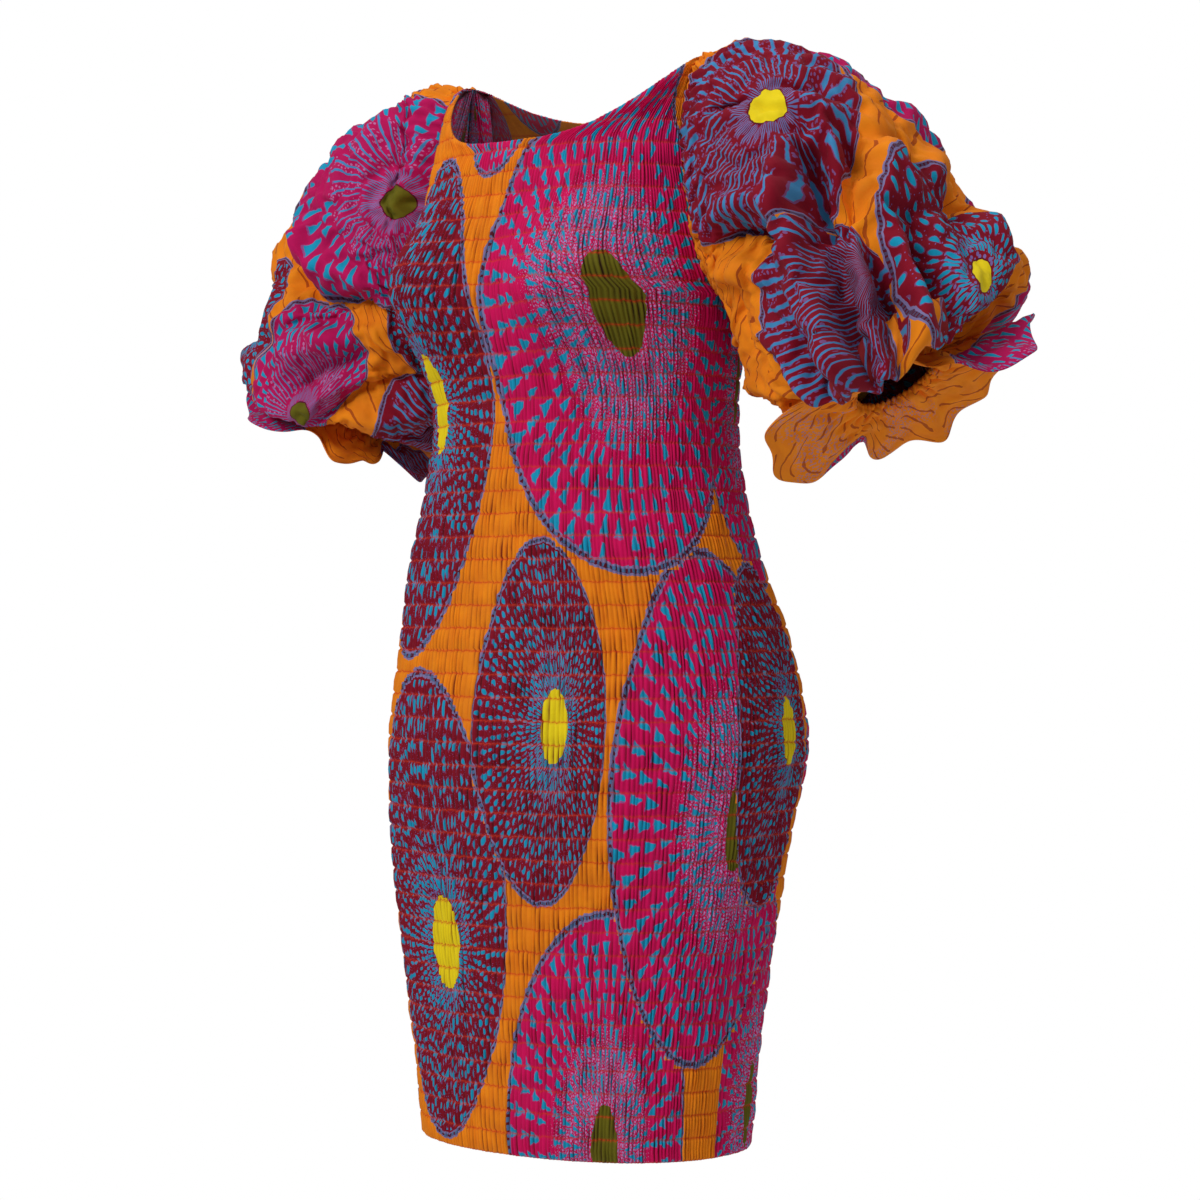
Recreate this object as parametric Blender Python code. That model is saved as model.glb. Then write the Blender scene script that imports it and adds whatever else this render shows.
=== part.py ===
"""A knee-length shirred dress with balloon sleeves, in metres, +Z up, front towards -Y.

The wearer's left is +X. The origin lies midway between the two shoulder seams, where the wearer holds the
dress up. The body is a front and a back panel, drawn in all round by level rows of elastic shirring. Each
sleeve is one balloon of cloth, gathered to its armhole, crumpled into deep folds, drawn tight by an elastic
above the elbow, and left free below it as a ruffle.
"""

import math
from typing import NamedTuple

import bpy
import bmesh
from mathutils import Vector

# Driving dimensions
DRESS_LENGTH = 0.900
SHIRRING_ROWS = 48
ROW_PITCH = DRESS_LENGTH / SHIRRING_ROWS
CLOTH = 0.0016
PUFF_HEIGHT = 0.0013
SEAM_GAP = 0.0003
UNDERARM_GAP = 0.0016
UNDERARM_SHARE = 4

# The neck, the shoulders and the armholes
NECK_HALF_WIDTH = 0.130
NECK_DROP_FRONT = 0.068
NECK_DROP_BACK = 0.032
NECK_FLATNESS = 3.3
SHOULDER_DEPTH = 0.100
SHOULDER_FRONT = 0.40
SHOULDER_BACK = 0.30
ARMHOLE_DEPTH = 0.196
ARMHOLE_SHARE = 0.42
ARMHOLE_ROUNDNESS = 0.5
SEAM_FORWARD = 0.12
SECTION_POWER = 2.15

# The bust, shaped by the shirring over a general figure
BUST_APART = 0.086
BUST_HEIGHT = -0.188
BUST_RISE = 0.060
BUST_WIDTH = 0.060
BUST_ABOVE = 0.062
BUST_BELOW = 0.052

# Mesh counts
BODY_COLUMNS = 14
INSIDE_STEP = 2
NECK_ROWS = 4
SLEEVE_COLUMNS = 48
BALLOON_STEPS = 18
RUFFLE_STEPS = 4

# The steps over which a panel's slope is measured
COLUMN_STEP = 0.001
ROW_STEP = 0.005

ANKARA_PINK = (0.62, 0.02, 0.16, 1.0)
ANKARA_MAROON = (0.24, 0.01, 0.04, 1.0)


class Torso(NamedTuple):
    """A level section of the body: its height, its half width, and how far forward and back it reaches."""

    height: float
    half_width: float
    front_y: float
    back_y: float


TORSO = (
    Torso(0.000, 0.1430, -0.098, 0.080),
    Torso(-0.050, 0.1390, -0.102, 0.086),
    Torso(-0.100, 0.1400, -0.107, 0.094),
    Torso(-0.150, 0.1445, -0.110, 0.099),
    Torso(-0.196, 0.1470, -0.111, 0.100),
    Torso(-0.240, 0.1430, -0.110, 0.099),
    Torso(-0.290, 0.1370, -0.107, 0.101),
    Torso(-0.345, 0.1420, -0.114, 0.104),
    Torso(-0.412, 0.1600, -0.122, 0.112),
    Torso(-0.480, 0.1770, -0.127, 0.141),
    Torso(-0.564, 0.1870, -0.137, 0.160),
    Torso(-0.640, 0.1830, -0.133, 0.136),
    Torso(-0.698, 0.1770, -0.127, 0.120),
    Torso(-0.782, 0.1640, -0.121, 0.112),
    Torso(-0.887, 0.1510, -0.115, 0.108),
    Torso(-DRESS_LENGTH, 0.1500, -0.113, 0.106),
)


class Ring(NamedTuple):
    """A ring of a sleeve: its centre, how far it tips down from facing sideways, and its reach each way."""

    out_x: float
    back_y: float
    height: float
    tip_deg: float
    up: float
    down: float
    across: float


# From the armhole over the balloon to the elastic, which is row ELASTIC_RING, and on to the ruffle's edge
SLEEVE_RINGS = (
    Ring(0.145, -0.005, -0.098, 0, 0.098, 0.098, 0.040),
    Ring(0.161, -0.001, -0.098, 5, 0.104, 0.098, 0.066),
    Ring(0.187, 0.005, -0.104, 13, 0.106, 0.102, 0.084),
    Ring(0.213, 0.011, -0.118, 24, 0.106, 0.108, 0.094),
    Ring(0.238, 0.019, -0.139, 34, 0.098, 0.118, 0.099),
    Ring(0.260, 0.029, -0.167, 45, 0.088, 0.128, 0.102),
    Ring(0.284, 0.033, -0.200, 50, 0.094, 0.134, 0.110),
    Ring(0.304, 0.032, -0.240, 53, 0.101, 0.112, 0.110),
    Ring(0.298, 0.028, -0.268, 53, 0.038, 0.038, 0.038),
    Ring(0.299, 0.028, -0.276, 53, 0.080, 0.080, 0.080),
    Ring(0.300, 0.028, -0.282, 53, 0.118, 0.118, 0.118),
)
ELASTIC_RING = 8
RUFFLE_RING = len(SLEEVE_RINGS) - 1
ELASTIC_REACH = SLEEVE_RINGS[ELASTIC_RING].up
RUFFLE_REACH = SLEEVE_RINGS[RUFFLE_RING].up

# Gathers round a sleeve
GATHERS = SLEEVE_COLUMNS // 2
CAP_GATHER = 0.0035
CAP_GATHER_RINGS = 1.5
ELASTIC_GATHER = 0.0020
ELASTIC_GATHER_RINGS = 1.3
# The gathers of the cap fade out down each side of the armhole
CAP_SLOPE = 1.6
CAP_START = 0.2
# Folds die out within this many rings of the armhole and of the elastic
FOLDS_FROM_ARMHOLE = 1.2
FOLDS_FROM_ELASTIC = 1.5
# A fold is shallower at its ends than in its middle, by this share
FOLD_FADE = 0.5


class Lobe(NamedTuple):
    """A place on a ruffle's edge: its angle from the top over the back, its reach, and how far it hangs."""

    turn_deg: float
    reach: float
    droop: float


# Each ruffle's edge, lobe by lobe
LEFT_RUFFLE = (
    Lobe(10, 0.110, 0.046),
    Lobe(30, 0.122, 0.000),
    Lobe(48, 0.118, -0.004),
    Lobe(70, 0.104, 0.000),
    Lobe(85, 0.106, 0.006),
    Lobe(97, 0.100, 0.002),
    Lobe(110, 0.104, 0.015),
    Lobe(123, 0.094, -0.002),
    Lobe(143, 0.090, 0.007),
    Lobe(166, 0.068, 0.000),
    Lobe(195, 0.108, 0.016),
    Lobe(212, 0.114, 0.004),
    Lobe(230, 0.114, -0.006),
    Lobe(246, 0.086, 0.012),
    Lobe(270, 0.072, 0.008),
    Lobe(304, 0.072, 0.002),
    Lobe(330, 0.079, 0.032),
    Lobe(357, 0.092, 0.050),
)
RIGHT_RUFFLE = (
    Lobe(14, 0.112, 0.020),
    Lobe(40, 0.094, -0.004),
    Lobe(66, 0.112, 0.018),
    Lobe(92, 0.096, -0.002),
    Lobe(118, 0.110, 0.020),
    Lobe(146, 0.090, 0.000),
    Lobe(171, 0.090, 0.006),
    Lobe(188, 0.054, -0.002),
    Lobe(206, 0.074, 0.004),
    Lobe(233, 0.094, 0.006),
    Lobe(253, 0.078, -0.002),
    Lobe(275, 0.104, 0.020),
    Lobe(297, 0.098, 0.028),
    Lobe(322, 0.096, 0.000),
    Lobe(346, 0.104, 0.010),
)


class Sag(NamedTuple):
    """Where a balloon hangs over its elastic: its middle, its spread to each side, and its drop."""

    turn_deg: float
    spread_deg: float
    drop: float


LEFT_SAG = Sag(306, 72, 0.072)
RIGHT_SAG = Sag(300, 75, 0.045)
SAG_FROM_RING = 3.8
SAG_RING = 7.0
SAG_TO_RING = 7.5


class Fold(NamedTuple):
    """A soft trough in a sleeve, or a ridge where its depth is below nought.

    It runs from one place to another, each given in degrees round from the top over the back, and in rings.
    """

    from_deg: float
    from_ring: float
    to_deg: float
    to_ring: float
    width: float
    depth: float


# The left sleeve's folds: its front and outer side, and then its back and inner side
LEFT_FOLDS = (
    Fold(309, 3.9, 296, 5.1, 0.018, 0.036),
    Fold(240, 3.0, 262, 4.3, 0.017, 0.026),
    Fold(262, 4.3, 272, 4.8, 0.014, 0.019),
    Fold(333, 4.2, 304, 5.3, 0.016, 0.017),
    Fold(350, 4.9, 330, 4.9, 0.017, -0.012),
    Fold(286, 4.2, 277, 5.3, 0.016, -0.017),
    Fold(277, 5.3, 290, 7.0, 0.016, -0.014),
    Fold(288, 5.5, 294, 7.2, 0.013, 0.019),
    Fold(318, 5.5, 306, 6.4, 0.013, 0.019),
    Fold(337, 5.7, 340, 6.7, 0.019, 0.015),
    Fold(243, 6.4, 262, 7.2, 0.014, 0.017),
    Fold(6, 5.7, 30, 5.3, 0.017, 0.024),
    Fold(18, 3.2, 66, 3.8, 0.018, 0.029),
    Fold(60, 5.2, 112, 4.8, 0.018, 0.029),
    Fold(50, 6.4, 84, 6.9, 0.017, 0.022),
    Fold(96, 2.8, 140, 3.3, 0.017, 0.024),
    Fold(128, 5.9, 150, 6.9, 0.017, 0.022),
    Fold(160, 4.3, 206, 4.9, 0.017, 0.022),
    Fold(188, 6.0, 212, 6.8, 0.017, 0.019),
)

# The right sleeve's folds, in the same order
RIGHT_FOLDS = (
    Fold(296, 4.9, 266, 5.1, 0.016, 0.031),
    Fold(266, 5.1, 226, 3.7, 0.016, 0.031),
    Fold(286, 5.9, 238, 4.6, 0.013, 0.017),
    Fold(262, 6.5, 228, 5.1, 0.016, 0.022),
    Fold(240, 6.9, 208, 5.3, 0.016, 0.022),
    Fold(288, 4.3, 276, 4.6, 0.016, -0.012),
    Fold(274, 5.5, 252, 5.1, 0.014, -0.012),
    Fold(318, 1.0, 268, 1.3, 0.014, 0.017),
    Fold(334, 4.6, 340, 6.0, 0.034, -0.017),
    Fold(350, 1.4, 345, 3.3, 0.045, 0.014),
    Fold(330, 3.6, 20, 4.2, 0.018, 0.029),
    Fold(318, 5.9, 350, 6.8, 0.017, 0.024),
    Fold(12, 5.4, 60, 5.9, 0.018, 0.026),
    Fold(40, 2.6, 88, 3.1, 0.018, 0.026),
    Fold(76, 4.4, 126, 4.9, 0.018, 0.029),
    Fold(96, 6.2, 122, 7.0, 0.017, 0.022),
    Fold(140, 3.4, 186, 4.0, 0.017, 0.022),
    Fold(160, 5.8, 190, 6.6, 0.017, 0.022),
)


class Style(NamedTuple):
    """What differs from one sleeve to the other."""

    folds: tuple[Fold, ...]
    ruffle: tuple[Lobe, ...]
    sag: Sag


# The scales on which folds are measured: round a balloon of this reach, and along it at this step of a ring
BALLOON_REACH = 0.105
RING_SPACING = 0.040


def smooth(share: float) -> float:
    """A smooth step from 0 to 1."""
    share = min(1.0, max(0.0, share))
    return share * share * (3 - 2 * share)


def between(low, high, share: float):
    """A straight blend of two numbers or vectors."""
    return low + (high - low) * share


def curve_through(rows, place: float):
    """The row at a place counted in rows, on a smooth curve through the table, as the rows' own type."""
    index = min(len(rows) - 2, max(0, int(place)))
    t = place - index
    before = rows[max(0, index - 1)]
    after = rows[min(len(rows) - 1, index + 2)]
    values = []
    for p0, p1, p2, p3 in zip(before, rows[index], rows[index + 1], after):
        cubic = 2 * p1 + (p2 - p0) * t
        cubic += (2 * p0 - 5 * p1 + 4 * p2 - p3) * t * t
        cubic += (3 * p1 - p0 - 3 * p2 + p3) * t * t * t
        values.append(cubic / 2)
    return type(rows[0])(*values)


def shoulder(height: float, front: bool) -> float:
    """The share of its full depth that the body has at a height, as it rounds over to the shoulder seam."""
    level = min(1.0, max(0.0, -height / SHOULDER_DEPTH))
    return (1 - (1 - level) ** 2) ** (SHOULDER_FRONT if front else SHOULDER_BACK)


def torso_at(height: float) -> Torso:
    """The body's section at a height."""
    index = 0
    while index < len(TORSO) - 2 and height < TORSO[index + 1].height:
        index += 1
    upper, lower = TORSO[index], TORSO[index + 1]
    return curve_through(TORSO, index + (upper.height - height) / (upper.height - lower.height))


def middle_of(height: float) -> float:
    """Where the middle of the body lies, front to back."""
    torso = torso_at(height)
    return (torso.front_y + torso.back_y) / 2 * smooth(-height / SHOULDER_DEPTH)


def depth_of(height: float, front: bool) -> float:
    """How far the body reaches from its middle, forward or back."""
    torso = torso_at(height)
    full = middle_of(height) - torso.front_y if front else torso.back_y - middle_of(height)
    return full * shoulder(height, front)


def bust_rise(x: float, height: float) -> float:
    """How far the bust carries the front panel forward."""
    tall = BUST_ABOVE if height > BUST_HEIGHT else BUST_BELOW
    rise = 0.0
    for apex_x in (-BUST_APART, BUST_APART):
        across = (x - apex_x) / BUST_WIDTH
        rise += math.exp(-across * across)
    level = (height - BUST_HEIGHT) / tall
    return BUST_RISE * rise * math.exp(-level * level)


def edge_share(height: float, front: bool) -> float:
    """How far a panel's side edge lies from the body's middle towards the panel, as a share of its depth."""
    opening = 0.0
    if height > -ARMHOLE_DEPTH:
        opening = ARMHOLE_SHARE * (1 + height / ARMHOLE_DEPTH) ** ARMHOLE_ROUNDNESS
    shift = SEAM_FORWARD * smooth(-height / DRESS_LENGTH)
    return shift + opening if front else opening - shift


def on_section(height: float, front: bool, share: float) -> Vector:
    """The point on the body at a height whose depth is a share of the section's, on the wearer's left."""
    x = torso_at(height).half_width * (1 - abs(share) ** SECTION_POWER) ** (1 / SECTION_POWER)
    return form_point(x, height, front, share)


def form_point(x: float, height: float, front: bool, share: float) -> Vector:
    """The point of the body's plain form at a place and a share of the section's depth."""
    reach = depth_of(height, front) * share + SEAM_GAP / 2
    if front:
        return Vector((x, middle_of(height) - reach - bust_rise(x, height) * smooth(share), height))
    return Vector((x, middle_of(height) + reach, height))


def panel_point(front: bool, column: float, row: float) -> Vector:
    """A point on a panel's plain form, at column 0 to 1 from the wearer's left, and row from the hem up."""
    to_neck = max(0.0, (row - SHIRRING_ROWS + NECK_ROWS) / NECK_ROWS)
    level = min(row, SHIRRING_ROWS - NECK_ROWS) * ROW_PITCH - DRESS_LENGTH
    first = 1 / BODY_COLUMNS
    inner = min(1.0, max(0.0, (column - first) / (1 - 2 * first)))
    outer = min(1.0, column / first, (1 - column) / first)
    neck_x = NECK_HALF_WIDTH * math.cos(math.pi * inner)
    drop = NECK_DROP_FRONT if front else NECK_DROP_BACK
    neck_height = -drop * (1 - (abs(neck_x) / NECK_HALF_WIDTH) ** NECK_FLATNESS)
    height = between(level, neck_height * outer, to_neck)
    # The side edge runs up the seam and round the armhole to the shoulder.
    end = edge_share(height, front)
    end_angle = math.copysign(math.asin(abs(end) ** (SECTION_POWER / 2)), end)
    angle = end_angle + (math.pi - 2 * end_angle) * column
    power = 2 / SECTION_POWER
    half_width = torso_at(height).half_width
    x = math.copysign(abs(math.cos(angle)) ** power, math.cos(angle)) * half_width
    if to_neck > 0:
        end_x = half_width * (1 - abs(end) ** SECTION_POWER) ** (1 / SECTION_POWER)
        top_x = between(math.copysign(end_x, 0.5 - column), neck_x, outer)
        x = between(x, top_x, smooth(to_neck))
    share = (1 - min(1.0, abs(x) / half_width) ** SECTION_POWER) ** (1 / SECTION_POWER)
    if min(column, 1 - column) < first and end < 0:
        share = math.copysign(abs(math.sin(angle)) ** power, math.sin(angle))
    return form_point(x, height, front, share)


def panel_normal(front: bool, column: float, row: float) -> Vector:
    """The direction that faces out of the dress on a panel's plain form."""
    if row > SHIRRING_ROWS - ROW_STEP and min(column, 1 - column) < 1 / BODY_COLUMNS + COLUMN_STEP:
        return Vector((0, 0, 1))
    low, high = max(0.0, column - COLUMN_STEP), min(1.0, column + COLUMN_STEP)
    down, up = max(0.0, row - ROW_STEP), min(float(SHIRRING_ROWS), row + ROW_STEP)
    across = panel_point(front, high, row) - panel_point(front, low, row)
    along = panel_point(front, column, up) - panel_point(front, column, down)
    normal = across.cross(along) if front else along.cross(across)
    return -normal.normalized()


def shirred(height: float) -> float:
    """How far the cloth puffs out between two rows of shirring."""
    return PUFF_HEIGHT * abs(math.sin(math.pi * height / ROW_PITCH))


def new_object(name: str, mesh: bmesh.types.BMesh, colour) -> bpy.types.Object:
    """Makes an object with its own material from a bmesh."""
    data = bpy.data.meshes.new(name)
    mesh.to_mesh(data)
    mesh.free()
    cloth = bpy.data.objects.new(name, data)
    bpy.context.scene.collection.objects.link(cloth)
    finish = bpy.data.materials.new(name + "_cotton")
    finish.use_nodes = True
    shader = finish.node_tree.nodes["Principled BSDF"]
    shader.inputs["Base Color"].default_value = colour
    shader.inputs["Roughness"].default_value = 0.8
    data.materials.append(finish)
    return cloth


def grid(mesh, columns: int, rows, place):
    """Vertices of a grid, as a list of rows."""
    made = []
    for row in rows:
        made.append([mesh.verts.new(place(column / columns, row)) for column in range(columns + 1)])
    return made


def cover(mesh, net, flip: bool) -> None:
    """Faces over a grid of vertices."""
    for lower, upper in zip(net, net[1:]):
        for i in range(len(lower) - 1):
            corners = [lower[i], lower[i + 1], upper[i + 1], upper[i]]
            mesh.faces.new(corners[::-1] if flip else corners)


def close_edge(mesh, fine, coarse) -> None:
    """Faces down a side edge, between its outer points and the fewer inner ones."""
    for k in range(len(coarse) - 1):
        first = k * INSIDE_STEP
        middle = first + INSIDE_STEP // 2
        for j in range(first, first + INSIDE_STEP):
            mesh.faces.new([coarse[k] if j < middle else coarse[k + 1], fine[j], fine[j + 1]])
        mesh.faces.new([coarse[k], fine[middle], coarse[k + 1]])


def make_panel(name: str, front: bool) -> bpy.types.Object:
    """A shirred panel: its outer side is puffed between the rows, and its inner side is plain."""
    mesh = bmesh.new()
    half_rows = [k / 2 for k in range(2 * SHIRRING_ROWS + 1)]

    def outer(column: float, row: float) -> Vector:
        form = panel_point(front, column, row)
        at_armhole = column in (0, 1) and form.z > -ARMHOLE_DEPTH - ROW_PITCH
        puff = 0.0 if at_armhole else shirred(form.z)
        return form + panel_normal(front, column, row) * puff

    def inner(column: float, row: float) -> Vector:
        return panel_point(front, column, row) - panel_normal(front, column, row) * CLOTH

    outside = grid(mesh, BODY_COLUMNS, half_rows, outer)
    inside = grid(mesh, BODY_COLUMNS, half_rows[::INSIDE_STEP], inner)
    cover(mesh, outside, flip=front)
    cover(mesh, inside, flip=not front)
    cover(mesh, [inside[0], outside[0]], flip=front)
    cover(mesh, [outside[-1], inside[-1]], flip=front)
    for edge in (0, -1):
        close_edge(mesh, [row[edge] for row in outside], [row[edge] for row in inside])
    bmesh.ops.recalc_face_normals(mesh, faces=mesh.faces)
    return new_object(name, mesh, ANKARA_PINK)


def armhole_point(turn: float) -> Vector:
    """A point on the left armhole's edge, at an angle from its top over the back."""
    height = -ARMHOLE_DEPTH / 2 * (1 - math.cos(turn))
    front = math.sin(turn) < 0
    return on_section(height, front, edge_share(height, front))


def fold_depth(folds, turn: float, along: float) -> float:
    """How far the folds sink the balloon at a place."""
    depth = 0.0
    for fold in folds:
        swing = (fold.to_deg - fold.from_deg + 180) % 360 - 180
        off = (math.degrees(turn) - fold.from_deg + 180) % 360 - 180
        place = Vector((math.radians(off) * BALLOON_REACH, (along - fold.from_ring) * RING_SPACING))
        run = Vector((math.radians(swing) * BALLOON_REACH, (fold.to_ring - fold.from_ring) * RING_SPACING))
        share = min(1.0, max(0.0, place.dot(run) / run.length_squared))
        apart = (place - run * share).length / fold.width
        depth += fold.depth * (1 - FOLD_FADE * (2 * share - 1) ** 2) * math.exp(-apart * apart)
    return depth


def rim_at(ruffle, turn: float) -> tuple[float, float]:
    """A ruffle's reach and droop at an angle, eased from each row of its table to the next."""
    degrees = math.degrees(turn) % 360
    after = sum(1 for lobe in ruffle if lobe.turn_deg <= degrees)
    low, high = ruffle[after - 1], ruffle[after % len(ruffle)]
    share = smooth((degrees - low.turn_deg) % 360 / ((high.turn_deg - low.turn_deg) % 360))
    return between(low.reach, high.reach, share), between(low.droop, high.droop, share)


def sag_at(sag: Sag, turn: float, along: float) -> float:
    """How far the balloon hangs down at a place."""
    off = ((math.degrees(turn) - sag.turn_deg + 180) % 360 - 180) / sag.spread_deg
    down = smooth((along - SAG_FROM_RING) / (SAG_RING - SAG_FROM_RING))
    tucked = smooth((SAG_TO_RING - along) / (SAG_TO_RING - SAG_RING))
    return sag.drop * max(0.0, 1 - off * off) * down * tucked


def sleeve_point(style: Style, turn: float, along: float) -> Vector:
    """A point on the left-hand form of a sleeve, at an angle from the top over the back, and at a ring."""
    ring = curve_through(SLEEVE_RINGS, along)
    tip = math.radians(ring.tip_deg)
    up = Vector((math.sin(tip), 0, math.cos(tip)))
    down_arm = Vector((math.cos(tip), 0, -math.sin(tip)))
    upright = (1 + math.cos(turn)) / 2
    reach = between(ring.down, ring.up, upright)
    across = ring.across
    gather = math.cos(GATHERS * turn)
    cap = math.exp(-((along / CAP_GATHER_RINGS) ** 2)) * smooth(upright * CAP_SLOPE - CAP_START)
    near_elastic = math.exp(-(((along - ELASTIC_RING) / ELASTIC_GATHER_RINGS) ** 2))
    change = gather * (CAP_GATHER * cap + ELASTIC_GATHER * near_elastic)
    inside_balloon = smooth(along / FOLDS_FROM_ARMHOLE) * smooth((ELASTIC_RING - along) / FOLDS_FROM_ELASTIC)
    change -= fold_depth(style.folds, turn, along) * inside_balloon
    droop = 0.0
    if along > ELASTIC_RING:
        rim_reach, rim_droop = rim_at(style.ruffle, turn)
        spread = (rim_reach - ELASTIC_REACH) / (RUFFLE_REACH - ELASTIC_REACH)
        reach = across = ELASTIC_REACH + (ring.up - ELASTIC_REACH) * spread
        to_edge = (along - ELASTIC_RING) / (RUFFLE_RING - ELASTIC_RING)
        droop = rim_droop * to_edge
    back = Vector((0, 1, 0))
    placed = Vector((ring.out_x, ring.back_y, ring.height - sag_at(style.sag, turn, along)))
    placed += up * (reach + change) * math.cos(turn) + back * (across + change) * math.sin(turn)
    placed += down_arm * droop
    if along < 1:
        gap = between(UNDERARM_GAP, SEAM_GAP, smooth(UNDERARM_SHARE * upright))
        placed = between(armhole_point(turn) + Vector((gap, 0, 0)), placed, smooth(along))
    return placed


def make_sleeve(name: str, side: int, style: Style) -> bpy.types.Object:
    """A balloon sleeve with its ruffle, as one wall. Side is 1 for the wearer's left and -1 for the right."""
    mesh = bmesh.new()
    rings = [ELASTIC_RING * (k / BALLOON_STEPS) for k in range(BALLOON_STEPS)]
    rings += [between(ELASTIC_RING, RUFFLE_RING, k / RUFFLE_STEPS) for k in range(RUFFLE_STEPS + 1)]
    net = []
    for along in rings:
        loop = []
        for k in range(SLEEVE_COLUMNS):
            point = sleeve_point(style, 2 * math.pi * k / SLEEVE_COLUMNS, along)
            loop.append(mesh.verts.new((side * point.x, point.y, point.z)))
        net.append(loop + loop[:1])
    cover(mesh, net, flip=side > 0)
    sleeve = new_object(name, mesh, ANKARA_MAROON)
    wall = sleeve.modifiers.new("Cloth", "SOLIDIFY")
    wall.thickness = CLOTH
    wall.offset = -1
    return sleeve


def main() -> None:
    """Builds the dress."""
    for thing in list(bpy.data.objects):
        bpy.data.objects.remove(thing)
    make_panel("front_panel", front=True)
    make_panel("back_panel", front=False)
    make_sleeve("sleeve_left", 1, Style(LEFT_FOLDS, LEFT_RUFFLE, LEFT_SAG))
    make_sleeve("sleeve_right", -1, Style(RIGHT_FOLDS, RIGHT_RUFFLE, RIGHT_SAG))


main()
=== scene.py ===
"""The looks of a knee-length shirred dress of ankara wax print cotton, with balloon sleeves and ruffles.

Each of the four cut pieces is one shell of cloth on the form of its solid: the panels with every gather
between their level rows of elastic, and the sleeves with their gathered caps, crumpled balloons, drawn-in
cuffs and ruffles. The print is worked out in the cloth's own flat measure, from formulas alone.
"""

from __future__ import annotations

import logging
import math
from dataclasses import dataclass
from enum import Enum
from typing import Callable, NamedTuple

import bmesh
import bpy
import numpy as np
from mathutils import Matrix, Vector

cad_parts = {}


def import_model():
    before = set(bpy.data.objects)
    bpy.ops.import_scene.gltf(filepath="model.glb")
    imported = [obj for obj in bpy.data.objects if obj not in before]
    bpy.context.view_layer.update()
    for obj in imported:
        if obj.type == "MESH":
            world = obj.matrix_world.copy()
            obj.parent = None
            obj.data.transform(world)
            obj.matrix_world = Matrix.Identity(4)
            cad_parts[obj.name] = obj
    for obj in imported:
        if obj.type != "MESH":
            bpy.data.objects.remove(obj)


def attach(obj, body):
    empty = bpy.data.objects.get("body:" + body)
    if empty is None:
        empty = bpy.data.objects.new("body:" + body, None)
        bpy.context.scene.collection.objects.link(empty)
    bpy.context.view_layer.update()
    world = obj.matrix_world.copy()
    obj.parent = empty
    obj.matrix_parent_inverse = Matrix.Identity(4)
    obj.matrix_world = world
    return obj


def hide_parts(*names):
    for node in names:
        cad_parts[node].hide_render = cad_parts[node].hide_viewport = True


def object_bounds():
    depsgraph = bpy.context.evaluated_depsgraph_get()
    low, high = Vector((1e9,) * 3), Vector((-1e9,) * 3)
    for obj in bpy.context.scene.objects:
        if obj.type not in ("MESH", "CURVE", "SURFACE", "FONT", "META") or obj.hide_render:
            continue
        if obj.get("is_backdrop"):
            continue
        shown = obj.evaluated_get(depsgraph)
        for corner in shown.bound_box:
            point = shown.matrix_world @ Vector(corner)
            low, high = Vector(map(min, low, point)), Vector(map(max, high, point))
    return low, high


LOG = logging.getLogger("dress")

FULL_TURN = 2 * math.pi


# ---------------------------------------------------------------- the form of the dress, as in its solids


DRESS_LENGTH = 0.900
SHIRRING_ROWS = 48
ROW_PITCH = DRESS_LENGTH / SHIRRING_ROWS
SEAM_GAP = 0.0003
UNDERARM_GAP = 0.0016
UNDERARM_SHARE = 4

TORSO = np.array(
    (
        # height, half width, front y, back y
        (0.000, 0.1430, -0.098, 0.080),
        (-0.050, 0.1390, -0.102, 0.086),
        (-0.100, 0.1400, -0.107, 0.094),
        (-0.150, 0.1445, -0.110, 0.099),
        (-0.196, 0.1470, -0.111, 0.100),
        (-0.240, 0.1430, -0.110, 0.099),
        (-0.290, 0.1370, -0.107, 0.101),
        (-0.345, 0.1420, -0.114, 0.104),
        (-0.412, 0.1600, -0.122, 0.112),
        (-0.480, 0.1770, -0.127, 0.141),
        (-0.564, 0.1870, -0.137, 0.160),
        (-0.640, 0.1830, -0.133, 0.136),
        (-0.698, 0.1770, -0.127, 0.120),
        (-0.782, 0.1640, -0.121, 0.112),
        (-0.887, 0.1510, -0.115, 0.108),
        (-DRESS_LENGTH, 0.1500, -0.113, 0.106),
    )
)

SLEEVE_RINGS = np.array(
    (
        # out x, back y, height, tip in degrees, up, down, across
        (0.145, -0.005, -0.098, 0, 0.098, 0.098, 0.040),
        (0.161, -0.001, -0.098, 5, 0.104, 0.098, 0.066),
        (0.187, 0.005, -0.104, 13, 0.106, 0.102, 0.084),
        (0.213, 0.011, -0.118, 24, 0.106, 0.108, 0.094),
        (0.238, 0.019, -0.139, 34, 0.098, 0.118, 0.099),
        (0.260, 0.029, -0.167, 45, 0.088, 0.128, 0.102),
        (0.284, 0.033, -0.200, 50, 0.094, 0.134, 0.110),
        (0.304, 0.032, -0.240, 53, 0.101, 0.112, 0.110),
        (0.298, 0.028, -0.268, 53, 0.038, 0.038, 0.038),
        (0.299, 0.028, -0.276, 53, 0.080, 0.080, 0.080),
        (0.300, 0.028, -0.282, 53, 0.118, 0.118, 0.118),
    )
)


def smooth(share):
    """A smooth step from 0 to 1, on numbers or arrays."""
    share = np.clip(share, 0.0, 1.0)
    return share * share * (3 - 2 * share)


def rows_of(kind: type, *rows: tuple) -> tuple:
    """A table of named rows, made from plain ones."""
    return tuple(kind(*row) for row in rows)


def between(low, high, share):
    """A straight blend of two numbers or arrays."""
    return low + (high - low) * share


def bell(x):
    """A bell curve of height 1, on numbers or arrays."""
    return np.exp(-(x**2))


def turned_from(degrees, start: float):
    """How far angles lie from a start, in degrees from -180 to 180."""
    return (degrees - start + 180) % 360 - 180


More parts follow.
